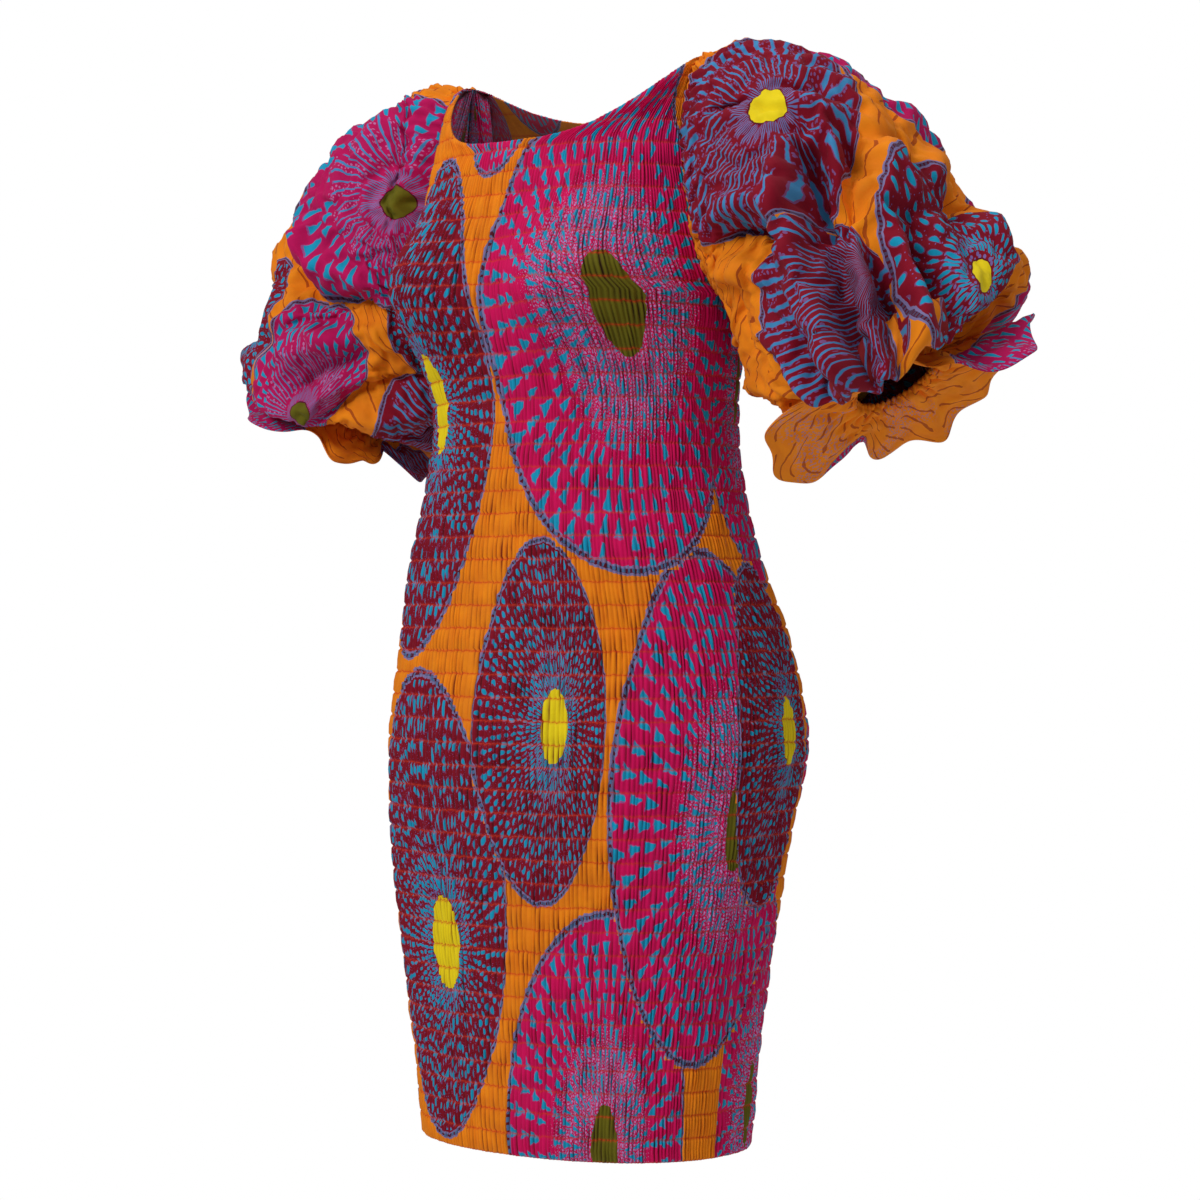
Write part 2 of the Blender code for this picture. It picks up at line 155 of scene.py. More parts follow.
def curve_through(rows: np.ndarray, place: np.ndarray) -> np.ndarray:
    """Follows a smooth curve through the rows of a table.

    Args:
        rows: The table, a row to each whole place.
        place: The places, counted in rows.

    Returns:
        The table's values at those places, on a last axis of their own.
    """
    place = np.asarray(place, dtype=float)
    index = np.clip(place.astype(int), 0, len(rows) - 2)
    t = (place - index)[..., None]
    p0, p1 = rows[np.maximum(index - 1, 0)], rows[index]
    p2, p3 = rows[index + 1], rows[np.minimum(index + 2, len(rows) - 1)]
    cubic = 2 * p1 + (p2 - p0) * t + (2 * p0 - 5 * p1 + 4 * p2 - p3) * t * t
    return (cubic + (3 * p1 - p0 - 3 * p2 + p3) * t * t * t) / 2


@dataclass(frozen=True)
class BodyForm:
    """The plain form of the body, which both panels and both armholes follow."""

    neck_half_width: float = 0.130
    neck_drop_front: float = 0.068
    neck_drop_back: float = 0.032
    neck_flatness: float = 3.3
    shoulder_depth: float = 0.100
    shoulder_front: float = 0.40
    shoulder_back: float = 0.30
    armhole_depth: float = 0.196
    armhole_share: float = 0.42
    armhole_roundness: float = 0.5
    seam_forward: float = 0.12
    section_power: float = 2.15
    bust_apart: float = 0.086
    bust_height: float = -0.188
    bust_rise: float = 0.060
    bust_width: float = 0.060
    bust_above: float = 0.062
    bust_below: float = 0.052
    side_share: float = 1 / 14
    neck_rows: int = 4

    def torso_at(self, height: np.ndarray) -> tuple[np.ndarray, np.ndarray, np.ndarray]:
        """The body's half width, front and back at heights."""
        levels = TORSO[:, 0]
        index = np.minimum(np.searchsorted(-levels[1:], -height, side="left"), len(TORSO) - 2)
        place = index + (levels[index] - height) / (levels[index] - levels[index + 1])
        row = curve_through(TORSO, place)
        return row[..., 1], row[..., 2], row[..., 3]

    def middle_of(self, height: np.ndarray) -> np.ndarray:
        """Where the middle of the body lies, front to back."""
        _, front_y, back_y = self.torso_at(height)
        return (front_y + back_y) / 2 * smooth(-height / self.shoulder_depth)

    def depth_of(self, height: np.ndarray, front) -> np.ndarray:
        """How far the body reaches from its middle, forward or back, as it rounds over to the shoulders."""
        _, front_y, back_y = self.torso_at(height)
        middle = self.middle_of(height)
        level = np.clip(-height / self.shoulder_depth, 0.0, 1.0)
        bow = 1 - (1 - level) ** 2
        ahead = (middle - front_y) * bow**self.shoulder_front
        behind = (back_y - middle) * bow**self.shoulder_back
        return np.where(front, ahead, behind)

    def bust_at(self, x: np.ndarray, height: np.ndarray) -> np.ndarray:
        """How far the bust carries the front panel forward."""
        tall = np.where(height > self.bust_height, self.bust_above, self.bust_below)
        rise = bell((x + self.bust_apart) / self.bust_width)
        rise = rise + bell((x - self.bust_apart) / self.bust_width)
        return self.bust_rise * rise * bell((height - self.bust_height) / tall)

    def edge_share(self, height: np.ndarray, front) -> np.ndarray:
        """How far a panel's side edge lies towards the panel, as a share of the body's depth."""
        open_share = np.clip(1 + height / self.armhole_depth, 0.0, None) ** self.armhole_roundness
        opening = self.armhole_share * open_share
        shift = self.seam_forward * smooth(-height / DRESS_LENGTH)
        return np.where(front, shift + opening, opening - shift)

    def form_point(self, x: np.ndarray, height: np.ndarray, front, share: np.ndarray) -> np.ndarray:
        """Points of the body's plain form at places and shares of the section's depth."""
        reach = self.depth_of(height, front) * share + SEAM_GAP / 2
        ahead = self.middle_of(height) - reach - self.bust_at(x, height) * smooth(share)
        return np.stack([x, np.where(front, ahead, self.middle_of(height) + reach), height], axis=-1)

    def panel_point(self, front: bool, column: np.ndarray, row: np.ndarray) -> np.ndarray:
        """Points on a panel's plain form.

        Args:
            front: Whether the panel is the front one.
            column: 0 to 1 from the wearer's left.
            row: Rows of shirring, from the hem up.

        Returns:
            The points, on a last axis of three.
        """
        first = self.side_share
        to_neck = np.clip((row - SHIRRING_ROWS + self.neck_rows) / self.neck_rows, 0.0, None)
        level = np.minimum(row, SHIRRING_ROWS - self.neck_rows) * ROW_PITCH - DRESS_LENGTH
        inner = np.clip((column - first) / (1 - 2 * first), 0.0, 1.0)
        outer = np.clip(np.minimum(column, 1 - column) / first, None, 1.0)
        neck_x = self.neck_half_width * np.cos(math.pi * inner)
        drop = self.neck_drop_front if front else self.neck_drop_back
        neck_height = -drop * (1 - (np.abs(neck_x) / self.neck_half_width) ** self.neck_flatness)
        height = between(level, neck_height * outer, to_neck)
        end = self.edge_share(height, front)
        end_angle = np.copysign(np.arcsin(np.abs(end) ** (self.section_power / 2)), end)
        angle = end_angle + (math.pi - 2 * end_angle) * column
        power = 2 / self.section_power
        half_width = self.torso_at(height)[0]
        x = np.copysign(np.abs(np.cos(angle)) ** power, np.cos(angle)) * half_width
        end_x = half_width * (1 - np.abs(end) ** self.section_power) ** (1 / self.section_power)
        top_x = between(np.copysign(end_x, 0.5 - column), neck_x, outer)
        x = np.where(to_neck > 0, between(x, top_x, smooth(to_neck)), x)
        left = np.clip(1 - np.minimum(1.0, np.abs(x) / half_width) ** self.section_power, 0.0, None)
        share = left ** (1 / self.section_power)
        beyond = (np.minimum(column, 1 - column) < first) & (end < 0)
        share = np.where(beyond, np.copysign(np.abs(np.sin(angle)) ** power, np.sin(angle)), share)
        return self.form_point(x, height, front, share)

    def panel_normal(self, front: bool, column: np.ndarray, row: np.ndarray) -> np.ndarray:
        """The directions that face out of the dress on a panel's plain form."""
        step, rise = 0.001, 0.005
        low, high = np.maximum(0.0, column - step), np.minimum(1.0, column + step)
        down, up = np.maximum(0.0, row - rise), np.minimum(float(SHIRRING_ROWS), row + rise)
        across = self.panel_point(front, high, row) - self.panel_point(front, low, row)
        along = self.panel_point(front, column, up) - self.panel_point(front, column, down)
        normal = np.cross(along, across) if front else np.cross(across, along)
        length = np.linalg.norm(normal, axis=-1, keepdims=True)
        normal = normal / np.maximum(length, 1e-12)
        at_shoulder = (row > SHIRRING_ROWS - rise) & (np.minimum(column, 1 - column) < self.side_share + step)
        return np.where(at_shoulder[..., None], np.array([0.0, 0.0, 1.0]), normal)

    def armhole_point(self, turn: np.ndarray) -> np.ndarray:
        """Points on the left armhole's edge, at angles from its top over the back."""
        height = -self.armhole_depth / 2 * (1 - np.cos(turn))
        front = np.sin(turn) < 0
        share = self.edge_share(height, front)
        power = self.section_power
        x = self.torso_at(height)[0] * (1 - np.abs(share) ** power) ** (1 / power)
        return self.form_point(x, height, front, share)


class Noise:
    """Smooth seeded noise over two coordinates, from about -1 to 1."""

    def __init__(self, seed: int, around: int = 0) -> None:
        """Draws the noise's slopes.

        Args:
            seed: Picks one noise out of many.
            around: After how many cells the first coordinate comes round again, or 0 for never.
        """
        angles = np.random.default_rng(seed).uniform(0, FULL_TURN, (256, 256))
        self.slopes = np.stack([np.cos(angles), np.sin(angles)], axis=-1)
        self.around = around

    def at(self, x: np.ndarray, y: np.ndarray) -> np.ndarray:
        """The noise at places counted in cells."""
        x, y = np.broadcast_arrays(np.asarray(x, dtype=float), np.asarray(y, dtype=float))
        cell_x, cell_y = np.floor(x).astype(int), np.floor(y).astype(int)
        fx, fy = x - cell_x, y - cell_y
        wx, wy = (f * f * f * (f * (f * 6 - 15) + 10) for f in (fx, fy))

        def corner(i: int, j: int) -> np.ndarray:
            """What one corner of the cell adds."""
            column = cell_x + i
            if self.around:
                column = column % self.around
            slope = self.slopes[column % 256, (cell_y + j) % 256]
            return slope[..., 0] * (fx - i) + slope[..., 1] * (fy - j)

        low = between(corner(0, 0), corner(1, 0), wx)
        high = between(corner(0, 1), corner(1, 1), wx)
        return between(low, high, wy) * 1.5

    def puffs(self, x: np.ndarray, y: np.ndarray) -> np.ndarray:
        """Round puffs with narrow valleys between them, from 0 in a valley to about 1."""
        return np.sqrt(np.abs(self.at(x, y)) + 0.003)


# ---------------------------------------------------------------- the print


class Face(Enum):
    """Which of the print's discs a place belongs to: the last is cut from beside its eye."""

    PINK = 0.0
    MAROON = 1.0
    STROKES = 2.0
    STROKES_ALONE = 3.0


PINK, MAROON, STROKES, STROKES_ALONE = Face


class Disc(NamedTuple):
    """A printed disc, drawn out by the gathers: its middle, its half sizes, its eye and its kind.

    Places and sizes across are in columns of a panel or in degrees round a sleeve, and those along are in
    metres up a panel or in rings down a sleeve.
    """

    across: float
    along: float
    half_across: float
    half_along: float
    eye_across: float
    eye_along: float
    face: Face


FRONT_DISCS = rows_of(
    Disc,
    # middle across and along, half sizes across and along, eye across and along, face
    (-0.040, -0.557, 0.097, 0.142, -0.071, -0.553, MAROON),
    (0.222, -0.214, 0.298, 0.213, 0.207, -0.207, PINK),
    (0.4035, -0.544, 0.1105, 0.150, 0.371, -0.548, MAROON),
    (0.085, -0.614, 0.204, 0.210, 0.028, -0.625, PINK),
    (0.700, -0.286, 0.186, 0.211, 0.693, -0.281, MAROON),
    (0.6425, -0.6985, 0.1785, 0.1965, 0.579, -0.736, MAROON),
    (0.286, -0.891, 0.193, 0.197, 0.271, -0.891, PINK),
    (0.535, 0.030, 0.112, 0.128, 0.535, 0.060, PINK),
    (0.975, 0.000, 0.125, 0.060, 0.975, 0.035, PINK),
    (0.990, -0.245, 0.092, 0.175, 0.990, -0.235, PINK),
    (0.952, -0.585, 0.112, 0.150, 0.945, -0.590, PINK),
    (0.955, -0.880, 0.115, 0.140, 0.960, -0.875, MAROON),
)

BACK_DISCS = rows_of(
    Disc,
    (0.045, -0.557, 0.100, 0.142, 0.071, -0.553, MAROON),
    (-0.085, -0.614, 0.204, 0.210, -0.003, -0.625, PINK),
    (0.100, -0.280, 0.118, 0.157, 0.120, -0.270, PINK),
    (0.345, -0.250, 0.112, 0.180, 0.350, -0.235, MAROON),
    (0.600, -0.230, 0.128, 0.186, 0.590, -0.215, PINK),
    (0.845, -0.270, 0.105, 0.165, 0.850, -0.260, MAROON),
    (0.265, -0.580, 0.110, 0.138, 0.270, -0.570, PINK),
    (0.490, -0.570, 0.100, 0.145, 0.490, -0.575, MAROON),
    (0.715, -0.590, 0.112, 0.148, 0.720, -0.600, PINK),
    (0.930, -0.590, 0.092, 0.140, 0.935, -0.585, PINK),
    (0.085, -0.865, 0.130, 0.180, 0.110, -0.860, PINK),
    (0.290, -0.885, 0.118, 0.150, 0.285, -0.880, MAROON),
    (0.520, -0.890, 0.103, 0.160, 0.520, -0.880, PINK),
    (0.745, -0.895, 0.108, 0.142, 0.745, -0.890, MAROON),
    (0.945, -0.880, 0.085, 0.140, 0.950, -0.885, PINK),
    (0.975, 0.000, 0.125, 0.060, 0.975, 0.035, PINK),
    (0.235, 0.070, 0.125, 0.112, 0.235, 0.070, PINK),
    (0.480, 0.062, 0.112, 0.098, 0.480, 0.062, MAROON),
    (0.730, 0.070, 0.120, 0.110, 0.730, 0.070, PINK),
)

LEFT_DISCS = rows_of(
    Disc,
    (298, 2.45, 61, 2.35, 308, 3.10, STROKES),
    (352, 6.15, 33, 1.50, 359, 6.66, MAROON),
    (281, 6.10, 41, 1.52, 310, 5.80, STROKES_ALONE),
    (6, 10.2, 34, 1.55, 6, 11.4, PINK),
    (30, 2.3, 34, 2.2, 32, 2.4, PINK),
    (74, 6.0, 38, 1.8, 74, 6.0, PINK),
    (103, 2.9, 32, 2.0, 103, 2.9, MAROON),
    (150, 6.3, 34, 1.6, 150, 6.3, MAROON),
    (176, 3.0, 32, 2.1, 176, 3.0, PINK),
    (172, 10.6, 17, 1.1, 172, 10.9, PINK),
)

RIGHT_DISCS = rows_of(
    Disc,
    (275, 1.8, 60, 2.9, 266, 0.9, PINK),
    (258, 6.15, 31, 1.50, 245, 6.95, PINK),
    (308, 6.3, 19, 1.2, 320, 6.4, MAROON),
    (188, 6.3, 26, 1.7, 172, 6.4, STROKES_ALONE),
    (200, 2.8, 24, 2.3, 200, 2.8, MAROON),
    (352, 3.3, 28, 2.0, 352, 3.3, STROKES),
    (352, 6.6, 24, 1.5, 352, 6.6, PINK),
    (50, 2.6, 36, 2.3, 50, 2.6, PINK),
    (62, 6.2, 38, 1.7, 62, 6.2, MAROON),
    (112, 3.5, 32, 2.1, 112, 3.5, STROKES),
    (134, 6.6, 34, 1.5, 134, 6.6, PINK),
    (156, 2.6, 20, 2.0, 156, 2.6, PINK),
    (20, 10.2, 30, 1.5, 20, 11.3, PINK),
    (95, 10.2, 30, 1.5, 95, 11.3, STROKES),
    (165, 10.2, 30, 1.6, 165, 11.3, STROKES),
    (285, 10.3, 30, 1.5, 285, 11.3, PINK),
)


@dataclass(frozen=True)
class PrintLayout:
    """Where the discs of the print lie on a piece.

    Attributes:
        discs: The discs, the uppermost first.
        around: Whether places across are degrees that come round again.
    """

    discs: tuple[Disc, ...]
    around: bool

    def lay(self, across: np.ndarray, along: np.ndarray, loops: np.ndarray) -> tuple[np.ndarray, np.ndarray]:
        """Finds the disc that each face of a mesh shows, and where on it the face's corners lie.

        Args:
            across: Each corner's place across the piece.
            along: Each corner's place along the piece.
            loops: The corners of each face, four to a row, as places in the two arrays above.

        Returns:
            Each corner's place about its disc's eye, with the rim at 1, and each face's kind of disc.
        """
        middle = np.mean(along[loops], axis=1)
        if self.around:
            start = across[loops[:, :1]]
            span = start + turned_from(across[loops], start)
        else:
            span = across[loops]
        best = np.full(len(loops), 1e9)
        place = np.zeros((len(loops), 4, 2))
        kind = np.zeros(len(loops))
        for disc in self.discs:
            off = np.mean(span, axis=1) - disc.across
            if self.around:
                off = (off + 180) % 360 - 180
            reach = np.hypot(off / disc.half_across, (middle - disc.along) / disc.half_along)
            nearer = (reach < best) & ((best > 1) | (reach < best - 2))
            best = np.where(nearer, reach, best)
            spread = span - np.mean(span, axis=1)[:, None] + off[:, None] + disc.across
            found = self._about_eye(disc, spread, along[loops])
            place[nearer] = found[nearer]
            kind[nearer] = disc.face.value
        return place, kind

    @staticmethod
    def _about_eye(disc: Disc, across: np.ndarray, along: np.ndarray) -> np.ndarray:
        """Places about a disc's eye, so drawn that every ring from the eye to the rim is a level line."""
        qx = (across - disc.eye_across) / disc.half_across
        qy = (along - disc.eye_along) / disc.half_along
        dx = (disc.across - disc.eye_across) / disc.half_across
        dy = (disc.along - disc.eye_along) / disc.half_along
        dot = qx * dx + qy * dy
        rest = 1 - dx * dx - dy * dy
        ring = (-dot + np.sqrt(dot * dot + rest * (qx * qx + qy * qy))) / rest
        return np.stack([qx - dx * ring, qy - dy * ring], axis=-1)


# ---------------------------------------------------------------- materials


Colour = tuple[float, float, float, float]


def paint(red: int, green: int, blue: int) -> Colour:
    """A colour as a dyer's card gives it, 0 to 255 a part, turned into light."""

    def light(part: int) -> float:
        """One part of the colour."""
        part = part / 255
        return part / 12.92 if part <= 0.04045 else ((part + 0.055) / 1.055) ** 2.4

    return (light(red), light(green), light(blue), 1.0)


class Bench:
    """A material's node tree, with one method that makes any node."""

    def __init__(self, name: str) -> None:
        """Starts a material with an empty tree."""
        self.material = bpy.data.materials.new(name)
        self.material.use_nodes = True
        self.tree = self.material.node_tree
        self.tree.nodes.clear()

    def node(self, kind: str, settings: dict | None = None, **inputs) -> bpy.types.Node:
        """Makes a node.

        Args:
            kind: The node's type.
            settings: Its settings, such as a Math node's operation, which are set first.
            **inputs: Values or links of its sockets, by name, with _ for a space, or by number as in i0.

        Returns:
            The node.
        """
        made = self.tree.nodes.new(kind)
        for name, value in (settings or {}).items():
            setattr(made, name, value)
        for name, value in inputs.items():
            numbered = name[0] == "i" and name[1:].isdigit()
            socket = made.inputs[int(name[1:])] if numbered else made.inputs[name.replace("_", " ")]
            self.feed(socket, value)
        return made

    def feed(self, socket: bpy.types.NodeSocket, value) -> None:
        """Gives a socket a link or a value."""
        if isinstance(value, Value):
            self.tree.links.new(value.socket, socket)
        elif isinstance(value, bpy.types.NodeSocket):
            self.tree.links.new(value, socket)
        else:
            socket.default_value = value

    def split(self, place) -> tuple[Value, Value]:
        """The two parts of a place on the cloth."""
        made = self.node("ShaderNodeSeparateXYZ", i0=place)
        return Value(self, made.outputs[0]), Value(self, made.outputs[1])

    def read(self, name: str) -> Value:
        """A number that the mesh carries."""
        return Value(self, self.node("ShaderNodeAttribute", {"attribute_name": name}).outputs["Fac"])

    def coat(self, **inputs) -> bpy.types.Material:
        """Ends the tree with one shader, and gives the material."""
        shader = self.node("ShaderNodeBsdfPrincipled", **inputs)
        self.node("ShaderNodeOutputMaterial", Surface=shader.outputs[0])
        return self.material

    def mix(self, low, high, share) -> bpy.types.NodeSocket:
        """A blend of two colours."""
        made = self.node("ShaderNodeMix", {"data_type": "RGBA"}, i0=share, i6=low, i7=high)
        return made.outputs[2]

    def times(self, colour, share) -> bpy.types.NodeSocket:
        """A colour multiplied by a number."""
        made = self.node("ShaderNodeVectorMath", {"operation": "SCALE"}, i0=colour, Scale=share)
        return made.outputs[0]


def math_method(operation: str, swapped: bool = False) -> Callable[..., Value]:
    """A method of Value that makes one Math node.

    Args:
        operation: The node's operation.
        swapped: Whether the other number comes first.

    Returns:
        The method.
    """

    def method(self: Value, *others) -> Value:
        """The node's result."""
        made = self.bench.node("ShaderNodeMath", {"operation": operation})
        for socket, term in zip(made.inputs, (*others, self) if swapped else (self, *others)):
            self.bench.feed(socket, term)
        return Value(self.bench, made.outputs[0])

    return method


class Value:
    """A number on its way through a material's nodes. Comparisons give 1 or 0."""

    def __init__(self, bench: Bench, socket: bpy.types.NodeSocket) -> None:
        """Wraps a socket."""
        self.bench = bench
        self.socket = socket

    __add__ = math_method("ADD")
    __radd__ = math_method("ADD", swapped=True)
    __sub__ = math_method("SUBTRACT")
    __rsub__ = math_method("SUBTRACT", swapped=True)
    __mul__ = math_method("MULTIPLY")
    __truediv__ = math_method("DIVIDE")
    __lt__ = math_method("LESS_THAN")
    __gt__ = math_method("GREATER_THAN")
    __abs__ = math_method("ABSOLUTE")
    __pow__ = math_method("POWER")
    floor = math_method("FLOOR")
    part = math_method("FRACT")
    sine = math_method("SINE")
    turn = math_method("ARCTAN2")
    low = math_method("MINIMUM")
    high = math_method("MAXIMUM")

    def step(self, start: float, end: float) -> Value:
        """A soft step from 0 at the start to 1 at the end."""
        made = self.bench.node(
            "ShaderNodeMapRange", {"interpolation_type": "SMOOTHSTEP"}, i0=self, i1=start, i2=end, i3=0.0, i4=1.0
        )
        return Value(self.bench, made.outputs[0])


@dataclass(frozen=True)
class WaxDyes:
    """The dyes of the wax print, the tint of the painted shade in the gathers' valleys, and the faded tone of the
    wrong side.
    """

    pink: Colour = paint(213, 0, 90)
    maroon: Colour = paint(134, 0, 32)
    orange: Colour = paint(254, 150, 14)
    yellow: Colour = paint(240, 214, 20)
    olive: Colour = paint(104, 98, 10)
    teal: Colour = paint(14, 156, 196)
    sky: Colour = paint(66, 142, 196)
    lilac: Colour = paint(128, 104, 172)
    pale: Colour = paint(196, 140, 200)
    brown: Colour = paint(150, 44, 12)
    thread: Colour = paint(214, 56, 22)
    rose: Colour = paint(190, 4, 90)
    shade: Colour = paint(92, 8, 34)
    rim: Colour = paint(134, 128, 178)
    burnt: Colour = paint(230, 118, 12)
    # painted shade: the dark tint that the material lays into the valleys between gathers
    valley: Colour = (0.22, 0.07, 0.08, 1.0)
    faded: Colour = (0.60, 0.22, 0.06, 1.0)


@dataclass(frozen=True)
class PrintScale:
    """How large the print's marks come out on a cloth, as gathers draw them together across.

    Attributes:
        rays, ray_rung: The rays of a pink disc, and the length of one wedge, with the rim at 1.
        dots, dot_rung: The same for a maroon disc's long dots.
        eye: The eye's reach.
        pink_slimmer: How much slimmer the eye of a pink disc is.
        eye_line: The strength of the dark line round the eye.
        rim_dash: How strong the dashes between the rim's lines are.
        speck_stretch, speck_scale: How far the specks are drawn together, and how many there are to a metre.
        stripe_width, wrong_stripe_width, stripe_share: The ground's stripes, on the right side and the wrong.
        edge_wobble: How far an eye's edge wanders.
        wrong_fade, wrong_light: How faded and how light the wrong side is.
    """

    rays: float
    ray_rung: float
    dots: float
    dot_rung: float
    eye: float
    pink_slimmer: float
    eye_line: float
    rim_dash: float
    speck_stretch: float
    speck_scale: float
    stripe_width: float
    wrong_stripe_width: float
    stripe_share: float
    edge_wobble: float
    wrong_fade: float
    wrong_light: float


SHIRRED = PrintScale(
    rays=54,
    ray_rung=0.108,
    dots=84,
    dot_rung=0.080,
    eye=0.212,
    pink_slimmer=0.38,
    eye_line=0.0,
    rim_dash=0.6,
    speck_stretch=1.5,
    speck_scale=330,
    stripe_width=0.05,
    wrong_stripe_width=0.05,
    stripe_share=0.0,
    edge_wobble=0.016,
    wrong_fade=0.16,
    wrong_light=0.34,
)
PLAIN = PrintScale(
    rays=42,
    ray_rung=0.135,
    dots=44,
    dot_rung=0.118,
    eye=0.160,
    pink_slimmer=0.0,
    eye_line=1.0,
    rim_dash=0.25,
    speck_stretch=1.0,
    speck_scale=270,
    stripe_width=0.11,
    wrong_stripe_width=0.16,
    stripe_share=0.75,
    edge_wobble=0.03,
    wrong_fade=0.06,
    wrong_light=1.12,
)


@dataclass(frozen=True)
class WaxCotton:
    """Wax print cotton, right side or wrong side, with or without rows of shirring.

    Attributes:
        name: The material's name.
        shirred: Whether rows of elastic cross it.
        wrong_side: Whether it is the paler, flatter back of the cloth.
    """

    name: str
    shirred: bool
    wrong_side: bool
    dyes: WaxDyes = WaxDyes()
    roughness: float = 0.78
    sheen: float = 0.03

    @property
    def scale(self) -> PrintScale:
        """The scale of the print on this cloth."""
        return SHIRRED if self.shirred else PLAIN

    def make(self) -> bpy.types.Material:
        """Builds the material."""
        bench = Bench(self.name)
        cloth = bench.node("ShaderNodeUVMap", {"uv_map": "cloth"}).outputs[0]
        colour = self._print(bench, cloth)
        # painted shade: the colour is darkened towards each gather's valley, where shade falls between the gathers
        valley = bench.read("valley")
        dark = {"data_type": "RGBA", "blend_type": "MULTIPLY"}
        painted_valley_shade = bench.node("ShaderNodeMix", dark, i0=1.0, i6=colour, i7=self.dyes.valley)
        colour = bench.mix(colour, painted_valley_shade.outputs[2], (valley * valley * 1.1).low(1.0) ** 1.6)
        if self.shirred:
            colour = self._stitches_and_row_shade(bench, cloth, colour)
        fade = self._noise(bench, cloth, 38.0, 3.0)
        colour = bench.times(colour, 0.86 + fade * 0.28)
        if self.wrong_side:
            colour = bench.times(bench.mix(colour, self.dyes.faded, self.scale.wrong_fade), self.scale.wrong_light)
        return bench.coat(
            Base_Color=colour,
            Roughness=self.roughness - 0.06 + fade * 0.12,
            Sheen_Weight=self.sheen,
            Sheen_Roughness=0.5,
            Specular_IOR_Level=0.2,
            Normal=self._weave(bench, cloth),
        )

    def _noise(self, bench: Bench, place, scale: float, detail: float) -> Value:
        """Soft noise from 0 to 1 on the cloth."""
        made = bench.node("ShaderNodeTexNoise", {"noise_dimensions": "2D"}, Vector=place, Scale=scale, Detail=detail)
        return Value(bench, made.outputs["Fac"])

    def _weave(self, bench: Bench, cloth) -> bpy.types.NodeSocket:
        """A plain weave and the slubs of its yarns, as a bump."""
        across, along = bench.split(cloth)
        yarn = FULL_TURN / 0.0009
        weave = (across * yarn).sine() * (along * yarn).sine()
        slub = self._noise(bench, cloth, 420.0, 2.0)
        crush = self._noise(bench, cloth, 70.0, 4.0)
        height = weave * 0.00004 + slub * 0.00015 + crush * 0.0006
        bump = bench.node("ShaderNodeBump", Strength=0.8, Distance=1.0, Height=height)
        return bump.outputs[0]

    def _stitches_and_row_shade(self, bench: Bench, cloth, colour) -> bpy.types.NodeSocket:
        """The thread of each row of shirring, and a painted band of light and shade along it, where the puffs curve
        in to the elastic.
        """
        across, along = bench.split(cloth)
        wander = self._noise(bench, cloth, 60.0, 1.0) * 0.0008 - 0.0004
        off = abs(((along + wander) / ROW_PITCH + 0.5).part() - 0.5) * ROW_PITCH
        # painted light and shade: thread colour laid in a band beside each row, standing in for the lit and shaded
        # shoulders of the puffs
        drawn = 1 - off.step(0.0004, 0.0022)
        colour = bench.mix(colour, self.dyes.thread, drawn * 0.26)
        stitch = (across / 0.0034).part() < 0.82
        thread = (1 - off.step(0.00022, 0.00050)) * stitch
        return bench.mix(colour, self.dyes.thread, thread * 0.72)

    def _print(self, bench: Bench, cloth) -> bpy.types.NodeSocket:
        """The whole print: its ground, its kinds of disc and their eyes."""
        dyes, scale = self.dyes, self.scale
        motif = bench.node("ShaderNodeUVMap", {"uv_map": "motif"}).outputs[0]
        kind = bench.read("face")
        mx, my = bench.split(motif)
        wobble = self._noise(bench, cloth, 150.0, 2.0) - 0.5
        reach = (mx * mx + my * my) ** 0.5 + wobble * 0.020
        angle = my.turn(mx) / FULL_TURN + 0.5 + wobble * 0.004
        specks = self._specks(bench, cloth)
        if self.shirred:
            pink = self._rays(bench, reach, angle, specks)
        else:
            streaks = self._strokes(bench, reach, angle, specks, dyes.rose, dyes.pale)
            pink = bench.mix(self._rays(bench, reach, angle, specks), streaks, reach < 0.60)
        maroon = self._dots(bench, reach, angle, specks)
        bare = kind > 2.5
        strokes = self._strokes(bench, reach, angle, specks, dyes.maroon, dyes.lilac, bare)
        disc = bench.mix(bench.mix(pink, maroon, kind.low(1.0)), strokes, kind > 1.5)
        eye = bench.mix(dyes.olive, dyes.yellow, kind.low(1.0))
        edge = (self._noise(bench, cloth, 34.0, 1.0) - 0.5) * scale.edge_wobble + 0.015
        seen = 1 - bare
        slim = 1.0 + (1 - kind.low(1.0)) * scale.pink_slimmer
        inward = ((mx * slim) ** 2.0 + my * my) ** 0.5 + wobble * 0.020 + edge
        outline = (abs(inward - scale.eye) < 0.010) * seen * scale.eye_line
        disc = bench.mix(disc, dyes.shade, outline)
        disc = bench.mix(disc, eye, (inward < scale.eye) * seen)
        disc = self._rim(bench, disc, reach, angle)
        return bench.mix(disc, self._ground(bench, cloth), reach > 1.0)

    def _specks(self, bench: Bench, cloth) -> Value:
        """How near each place is to the middle of a small resist speck, from 0."""
        across, along = bench.split(cloth)
        drawn = bench.node("ShaderNodeCombineXYZ", i0=across * self.scale.speck_stretch, i1=along)
        made = bench.node(
            "ShaderNodeTexVoronoi",
            {"voronoi_dimensions": "2D"},
            Vector=drawn.outputs[0],
            Scale=self.scale.speck_scale,
            Randomness=0.9,
        )
        return Value(bench, made.outputs["Distance"])

    def _cell(self, bench: Bench, ray: Value, ring: Value | float) -> tuple[Value, Value]:
        """Two random numbers for the mark in one cell of rays and rings."""
        where = bench.node("ShaderNodeCombineXYZ", i0=ray, i1=ring)
        made = bench.node("ShaderNodeTexWhiteNoise", {"noise_dimensions": "2D"}, Vector=where.outputs[0])
        split = bench.node("ShaderNodeSeparateColor", i0=made.outputs["Color"])
        return Value(bench, split.outputs[0]), Value(bench, split.outputs[1])

